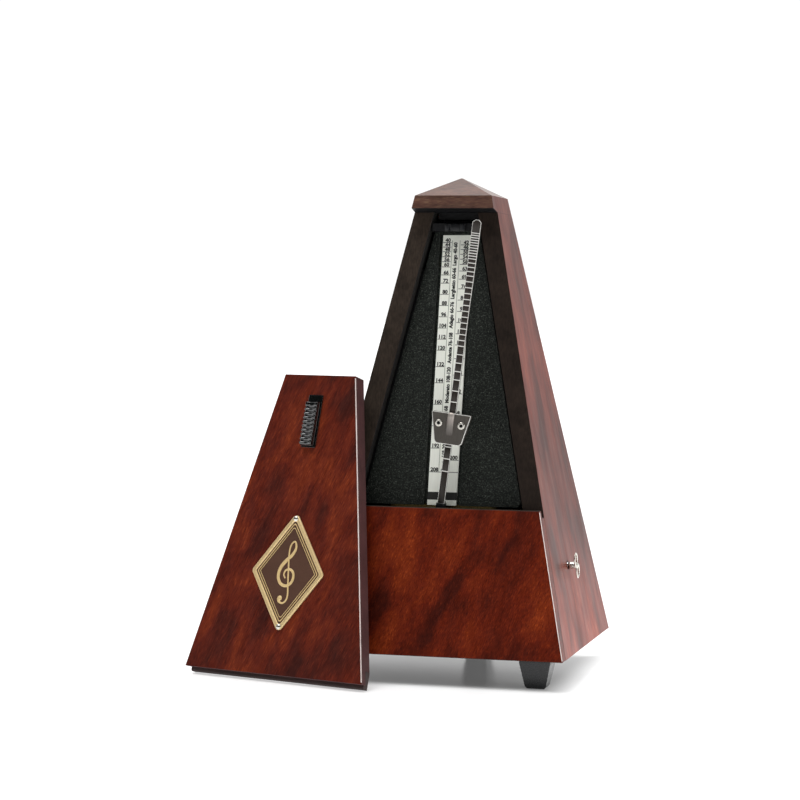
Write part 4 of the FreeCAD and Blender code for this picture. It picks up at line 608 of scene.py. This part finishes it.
# ------------------------------------------------------------ winding key
KEY = Matrix.Translation((CX * MM, (CY - 7.8) * MM, 49.5 * MM)) @ Matrix.Rotation(math.radians(45), 4, "X")


def tube_loop(center, ry, rz, wy, wx, n=40, m=10):
    """A closed wire loop in the YZ plane at x = center[0], section wx by wy."""
    V, F = [], []
    for i in range(n):
        t = 2 * math.pi * i / n
        c = Vector((center[0], center[1] + ry * math.cos(t), center[2] + rz * math.sin(t)))
        nrm = Vector((0, math.cos(t) / ry, math.sin(t) / rz)).normalized()
        for k in range(m):
            a = 2 * math.pi * k / m
            V.append(tuple(c + nrm * (wy * math.cos(a)) + Vector((wx * math.sin(a), 0, 0))))
    for i in range(n):
        for k in range(m):
            j, l = (i + 1) % n, (k + 1) % m
            F.append((i * m + k, i * m + l, j * m + l, j * m + k))
    return V, F


def turned(profile, n=28):
    """A solid of revolution about X: profile of (x, r) from end to end."""
    V, F = [], []
    for x, r in profile:
        for k in range(n):
            a = 2 * math.pi * k / n
            V.append((x, r * math.cos(a), r * math.sin(a)))
    for i in range(len(profile) - 1):
        for k in range(n):
            l = (k + 1) % n
            F.append((i * n + k, i * n + l, (i + 1) * n + l, (i + 1) * n + k))
    F += [tuple(range(n))[::-1], tuple((len(profile) - 1) * n + k for k in range(n))]
    return V, F


parts = [tube_loop((56.25, 0, sg * 3.80), 2.70, 3.10, 0.46, 0.36) for sg in (1, -1)]
parts.append(turned([(52.6, 1.56), (53.4, 1.56), (54.6, 1.60), (55.35, 1.45), (56.6, 1.30), (56.9, 1.05), (57.0, 0.5)]))
V, F = join(parts)
bow = mesh_obj("winding_key_bow", V, F, nickel, "winding_set", KEY, smooth=True)
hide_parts("winding_key")

# ------------------------------------------------------------- latch grip
GRIP = LID @ FACE
V, F = [], []
nx, nv = 13, 197
for i in range(nv):
    v = 101.85 + 19.5 * i / (nv - 1)
    for k in range(nx):
        x = 3.05 * math.sin((k / (nx - 1) - 0.5) * math.pi)
        rib = (0.5 + 0.5 * math.cos(2 * math.pi * (v - 102.8) / 1.9)) ** 0.6 if v < 119.9 else 0.8
        if v < 119.9:
            rib = 0.8 + (rib - 0.8) * (0.25 + 0.75 * min(1, abs(x) / 1.5) ** 2)
        hollow = 0.70 * (1 - (x / 3.05) ** 2) ** 1.5
        edge = 0.35 * max(0, (abs(x) - 2.75) / 0.30) ** 2 + 0.4 * max(0, (v - 121.0) / 0.35) ** 2 + 0.4 * max(0, (102.15 - v) / 0.30) ** 2
        V.append((x, v, 3.82 - 0.80 * (1 - rib) - hollow - edge))
b0 = len(V)
rim = [k for k in range(nx)] + [i * nx + nx - 1 for i in range(1, nv)] + [(nv - 1) * nx + k for k in range(nx - 2, -1, -1)] + [i * nx for i in range(nv - 2, 0, -1)]
for i in range(nv - 1):
    for k in range(nx - 1):
        a = i * nx + k
        F.append((a, a + 1, a + nx + 1, a + nx))
for r_ in rim:
    V.append((V[r_][0], V[r_][1], 0.9))
for q in range(len(rim)):
    q2 = (q + 1) % len(rim)
    F.append((rim[q], b0 + q, b0 + q2, rim[q2]))
F.append(tuple(b0 + q for q in range(len(rim))))
grip = mesh_obj("latch_grip", V, F, plastic, "lid_latch", GRIP, smooth=True)
grip.data.set_sharp_from_angle(angle=math.radians(50))
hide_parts("latch_button")

# ------------------------------------------ painted highlights on two front edges
edge_highlight_paint = speckled("painted_edge_highlight", (0.92, 0.77, 0.73), 0.22, 0.30, cell=2.2, amount=0.5, dist=0.01, stretch=(1, 1, 4), bump_strength=0.1)


def edge_strip(name, p0, p1, out, side, w0, w1, body, place=None):
    """A thin closed strip of painted highlight along p0-p1, w0 wide on the front face and w1 wide on the side face."""
    p0, p1, out, side = (Vector(v) for v in (p0, p1, out, side))
    V = []
    for p in (p0, p1):
        for a, b in ((0.03, -w0), (0.03, -0.06), (-0.06, 0.03), (-w1, 0.03), (-w1, -0.15), (-0.15, -w0)):
            V.append(tuple(p + out * a + side * b))
    F = [(i, (i + 1) % 6, 6 + (i + 1) % 6, 6 + i) for i in range(6)] + [(5, 4, 3, 2, 1, 0), (6, 7, 8, 9, 10, 11)]
    mesh_obj(name, V, F, edge_highlight_paint, body, place)


edge_strip("lid_edge_painted_highlight", (46.56 - 0.2074 * 0.8, 0, 0.8), (46.56 - 0.2074 * 133.4, 0, 133.4), (0, -1, 0), (0.979, 0, 0.203), 0.38, 0.20, "lid", LID)
edge_strip("panel_edge_painted_highlight", (CX + half(14), CY - half(14), 14), (CX + half(75.9), CY - half(75.9), 75.9), (0, -0.978, 0.207), (0.978, 0, 0.207), 0.27, 0.18, "case")


# --------------------------------------------------------- emblem (generic)
EMB = LID @ Matrix.Translation((0, -0.0, 45 * MM)) @ FACE


def rhombus(hw, hv, r, n=7):
    """Rounded rhombus outline, counter-clockwise from the right corner."""
    pts = []
    corners = [(hw, 0), (0, hv), (-hw, 0), (0, -hv)]
    for i, c in enumerate(corners):
        a, b = Vector(corners[i - 1]), Vector(corners[(i + 1) % 4])
        c = Vector(c)
        u, v = (a - c).normalized(), (b - c).normalized()
        ang = math.acos(max(-1, min(1, u.dot(v))))
        d = r / math.tan(ang / 2)
        cen = c + (u + v).normalized() * (r / math.sin(ang / 2))
        p, q = c + u * d, c + v * d
        a0 = math.atan2(p.y - cen.y, p.x - cen.x)
        a1 = math.atan2(q.y - cen.y, q.x - cen.x)
        while a1 < a0:
            a1 += 2 * math.pi
        for k in range(n):
            t = a0 + (a1 - a0) * k / (n - 1)
            pts.append((cen.x + r * math.cos(t), cen.y + r * math.sin(t)))
    return pts


def inset_rhombus(d, r):
    """The plate's outline moved in by d mm."""
    hw, hv = 18.4 + 0.6, 26.0 + 0.85
    k = math.hypot(hw, hv) / (hw * hv)
    f = 1 - d * k
    return rhombus(hw * f, hv * f, r)


def loop(d, r, z):
    return [(x, y, z) for x, y in inset_rhombus(d, r)]


V, F = ring([loop(0.0, 1.9, 0.0), loop(0.0, 1.9, 0.62), loop(0.35, 1.8, 0.86), loop(0.95, 1.6, 0.90), loop(1.55, 1.3, 0.84), loop(1.95, 1.1, 0.55), loop(1.95, 1.1, 0.0)])
border = mesh_obj("emblem_border", V, F, gilt, "lid", EMB, smooth=True)
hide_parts("emblem_plate")
L0, L1 = loop(1.8, 1.1, 0.0), loop(1.8, 1.1, 0.50)
n = len(L0)
mesh_obj("emblem_field", L0 + L1, [tuple(range(n))[::-1], tuple(range(n, 2 * n))] + [(i, (i + 1) % n, n + (i + 1) % n, n + i) for i in range(n)], field_mat, "lid", EMB)
groove = []
for d0, d1 in ((2.55, 2.95), (3.60, 3.85)):
    groove.append(ring([loop(d0, 0.9, 0.49), loop(d0, 0.9, 0.60), loop(d1, 0.8, 0.60), loop(d1, 0.8, 0.49)]))
V, F = join(groove)
mesh_obj("emblem_inner_lines", V, F, gold_print, "lid", EMB)
clef = [(-0.7, -2.6, .35), (-1.7, -1.0, .40), (-1.0, 0.9, .45), (1.2, 1.4, .55), (3.2, -0.4, .62), (3.1, -3.7, .66), (0.6, -5.9, .66), (-2.7, -5.1, .70), (-4.5, -2.0, .78),
        (-4.0, 1.8, .85), (-1.6, 5.2, .85), (1.2, 8.0, .75), (2.5, 11.0, .60), (1.9, 13.4, .42), (0.7, 13.6, .38), (-0.5, 11.6, .38), (-0.6, 8.0, .40), (0.2, 2.0, .42),
        (1.2, -5.0, .42), (1.9, -9.6, .42), (1.5, -12.2, .42), (-0.2, -13.6, .45), (-2.2, -12.9, .55), (-2.6, -11.5, .75)]
V1, F1 = ribbon(catmull(clef, 7), 0.50, 0.16)
dot = [(-1.9 + 1.15 * math.cos(a * math.pi / 10), -11.5 + 1.15 * math.sin(a * math.pi / 10)) for a in range(20)]
Vd = [(x, y, 0.49) for x, y in dot] + [(x, y, 0.62) for x, y in dot] + [(-1.9, -11.5, 0.70)]
Fd = [(i, (i + 1) % 20, 20 + (i + 1) % 20, 20 + i) for i in range(20)] + [(20 + i, 20 + (i + 1) % 20, 40) for i in range(20)] + [tuple(range(20))[::-1]]
V, F = join([(V1, F1), (Vd, Fd)])
mesh_obj("emblem_clef", V, F, gold_print, "lid", EMB, smooth=True)

# ------------------------------------------------------------------ studio
floor_mat, nt, sh = new_mat("studio_floor")
nf = noise(nt, mapped(nt, (0, 0, 1), Vector((0.4, 0.4, 0.4))), 1, 2, 0.5)
nt.links.new(ramp(nt, nf, [(0.3, (0.885, 0.885, 0.885)), (0.7, (0.90, 0.90, 0.90))]), sh.inputs["Base Color"])
sh.inputs["Roughness"].default_value = 0.22
sh.inputs["Specular IOR Level"].default_value = 0.35
# the floor glows (emission) away from the case and much less right under it: a painted glow with painted contact shade
# under the case
tcf = N(nt, "ShaderNodeTexCoord")
vd = N(nt, "ShaderNodeVectorMath", operation="SUBTRACT")
vd.inputs[1].default_value = (CX * MM, CY * MM, 0)
va = N(nt, "ShaderNodeVectorMath", operation="ABSOLUTE")
sx = N(nt, "ShaderNodeSeparateXYZ")
mx = N(nt, "ShaderNodeMath", operation="MAXIMUM")
nt.links.new(tcf.outputs["Object"], vd.inputs[0])
nt.links.new(vd.outputs[0], va.inputs[0])
nt.links.new(va.outputs[0], sx.inputs[0])
nt.links.new(sx.outputs["X"], mx.inputs[0])
nt.links.new(sx.outputs["Y"], mx.inputs[1])
floor_glow_shade = N(nt, "ShaderNodeMapRange", interpolation_type="SMOOTHSTEP")
for k, v in zip(("From Min", "From Max", "To Min", "To Max"), (0.047, 0.064, 0.09, 0.50)):
    floor_glow_shade.inputs[k].default_value = v
nt.links.new(mx.outputs[0], floor_glow_shade.inputs["Value"])
sh.inputs["Emission Color"].default_value = (1, 1, 1, 1)
nt.links.new(floor_glow_shade.outputs["Result"], sh.inputs["Emission Strength"])
me = bpy.data.meshes.new("studio_floor")
me.from_pydata([(-30, -30, 0), (30, -30, 0), (30, 30, 0), (-30, 30, 0)], [], [(0, 1, 2, 3)])
me.materials.append(floor_mat)
floor = bpy.data.objects.new("studio_floor", me)
scene.collection.objects.link(floor)

world = bpy.data.worlds.new("studio")
scene.world = world
world.use_nodes = True
wt = world.node_tree
bg = wt.nodes["Background"]
tc = wt.nodes.new("ShaderNodeTexCoord")
sp = wt.nodes.new("ShaderNodeSeparateXYZ")
wt.links.new(tc.outputs["Generated"], sp.inputs["Vector"])


def wspan(sock, a0, a1, b0, b1):
    m = wt.nodes.new("ShaderNodeMapRange")
    m.interpolation_type = "SMOOTHSTEP"
    for k, v in zip(("From Min", "From Max", "To Min", "To Max"), (a0, a1, b0, b1)):
        m.inputs[k].default_value = v
    wt.links.new(sock, m.inputs["Value"])
    return m.outputs["Result"]


def wmath(op, a, b):
    m = wt.nodes.new("ShaderNodeMath")
    m.operation = op
    for i, v in enumerate((a, b)):
        if isinstance(v, (int, float)):
            m.inputs[i].default_value = v
        else:
            wt.links.new(v, m.inputs[i])
    return m.outputs[0]


back = wspan(sp.outputs["Y"], -0.20, 0.50, 0.0, 1.0)
rise = wspan(sp.outputs["Z"], 0.07, 0.26, 0.46, 1.35)
top = wspan(sp.outputs["Z"], 0.55, 0.97, 0.0, 0.9)
lit = wmath("MAXIMUM", wmath("MULTIPLY", back, rise), wmath("ADD", top, 0.025))
lp = wt.nodes.new("ShaderNodeLightPath")
mixs = wt.nodes.new("ShaderNodeMixShader")
bg2 = wt.nodes.new("ShaderNodeBackground")
bg2.inputs["Color"].default_value = (1, 1, 1, 1)
bg2.inputs["Strength"].default_value = 1.05
bg.inputs["Color"].default_value = (1, 1, 1, 1)
wt.links.new(lit, bg.inputs["Strength"])
wt.links.new(lp.outputs["Is Camera Ray"], mixs.inputs[0])
wt.links.new(bg.outputs[0], mixs.inputs[1])
wt.links.new(bg2.outputs[0], mixs.inputs[2])
wt.links.new(mixs.outputs[0], wt.nodes["World Output"].inputs["Surface"])


def sun(name, direction, strength, angle):
    d = bpy.data.lights.new(name, "SUN")
    d.energy = strength
    d.angle = math.radians(angle)
    o = bpy.data.objects.new(name, d)
    o.rotation_euler = Vector(direction).to_track_quat("Z", "Y").to_euler()
    scene.collection.objects.link(o)
    return o


def area(name, loc, target, size_x, size_y, power):
    d = bpy.data.lights.new(name, "AREA")
    d.shape = "RECTANGLE"
    d.size, d.size_y = size_x, size_y
    d.energy = power
    o = bpy.data.objects.new(name, d)
    o.location = loc
    o.rotation_euler = (Vector(loc) - Vector(target)).to_track_quat("Z", "Y").to_euler()
    scene.collection.objects.link(o)
    return o


sun("key_sun", (-0.22, -0.34, 1.15), 1.35, 26)
area("right_strip", (1.25, -0.42, 0.42), (0.02, 0.0, 0.1), 0.22, 0.8, 4.0)

# ------------------------------------------------------------------ camera
cam = bpy.data.cameras.new("camera")
cam.lens = 108.0
cam.sensor_width = 36.0
cam.clip_start = 0.05
cam.clip_end = 100
co = bpy.data.objects.new("camera", cam)
yaw, pitch, roll = math.radians(14.338), math.radians(-2.181), math.radians(0.606)
d = Vector((-math.sin(yaw) * math.cos(pitch), math.cos(yaw) * math.cos(pitch), math.sin(pitch)))
r = Vector((math.cos(yaw), math.sin(yaw), 0))
u = r.cross(d)
r2 = math.cos(roll) * r + math.sin(roll) * u
u2 = -math.sin(roll) * r + math.cos(roll) * u
co.matrix_world = Matrix(((r2.x, u2.x, -d.x, 0.268456), (r2.y, u2.y, -d.y, -1.047997), (r2.z, u2.z, -d.z, 0.16297), (0, 0, 0, 1)))
scene.collection.objects.link(co)
scene.camera = co
scene.view_settings.view_transform = "Standard"
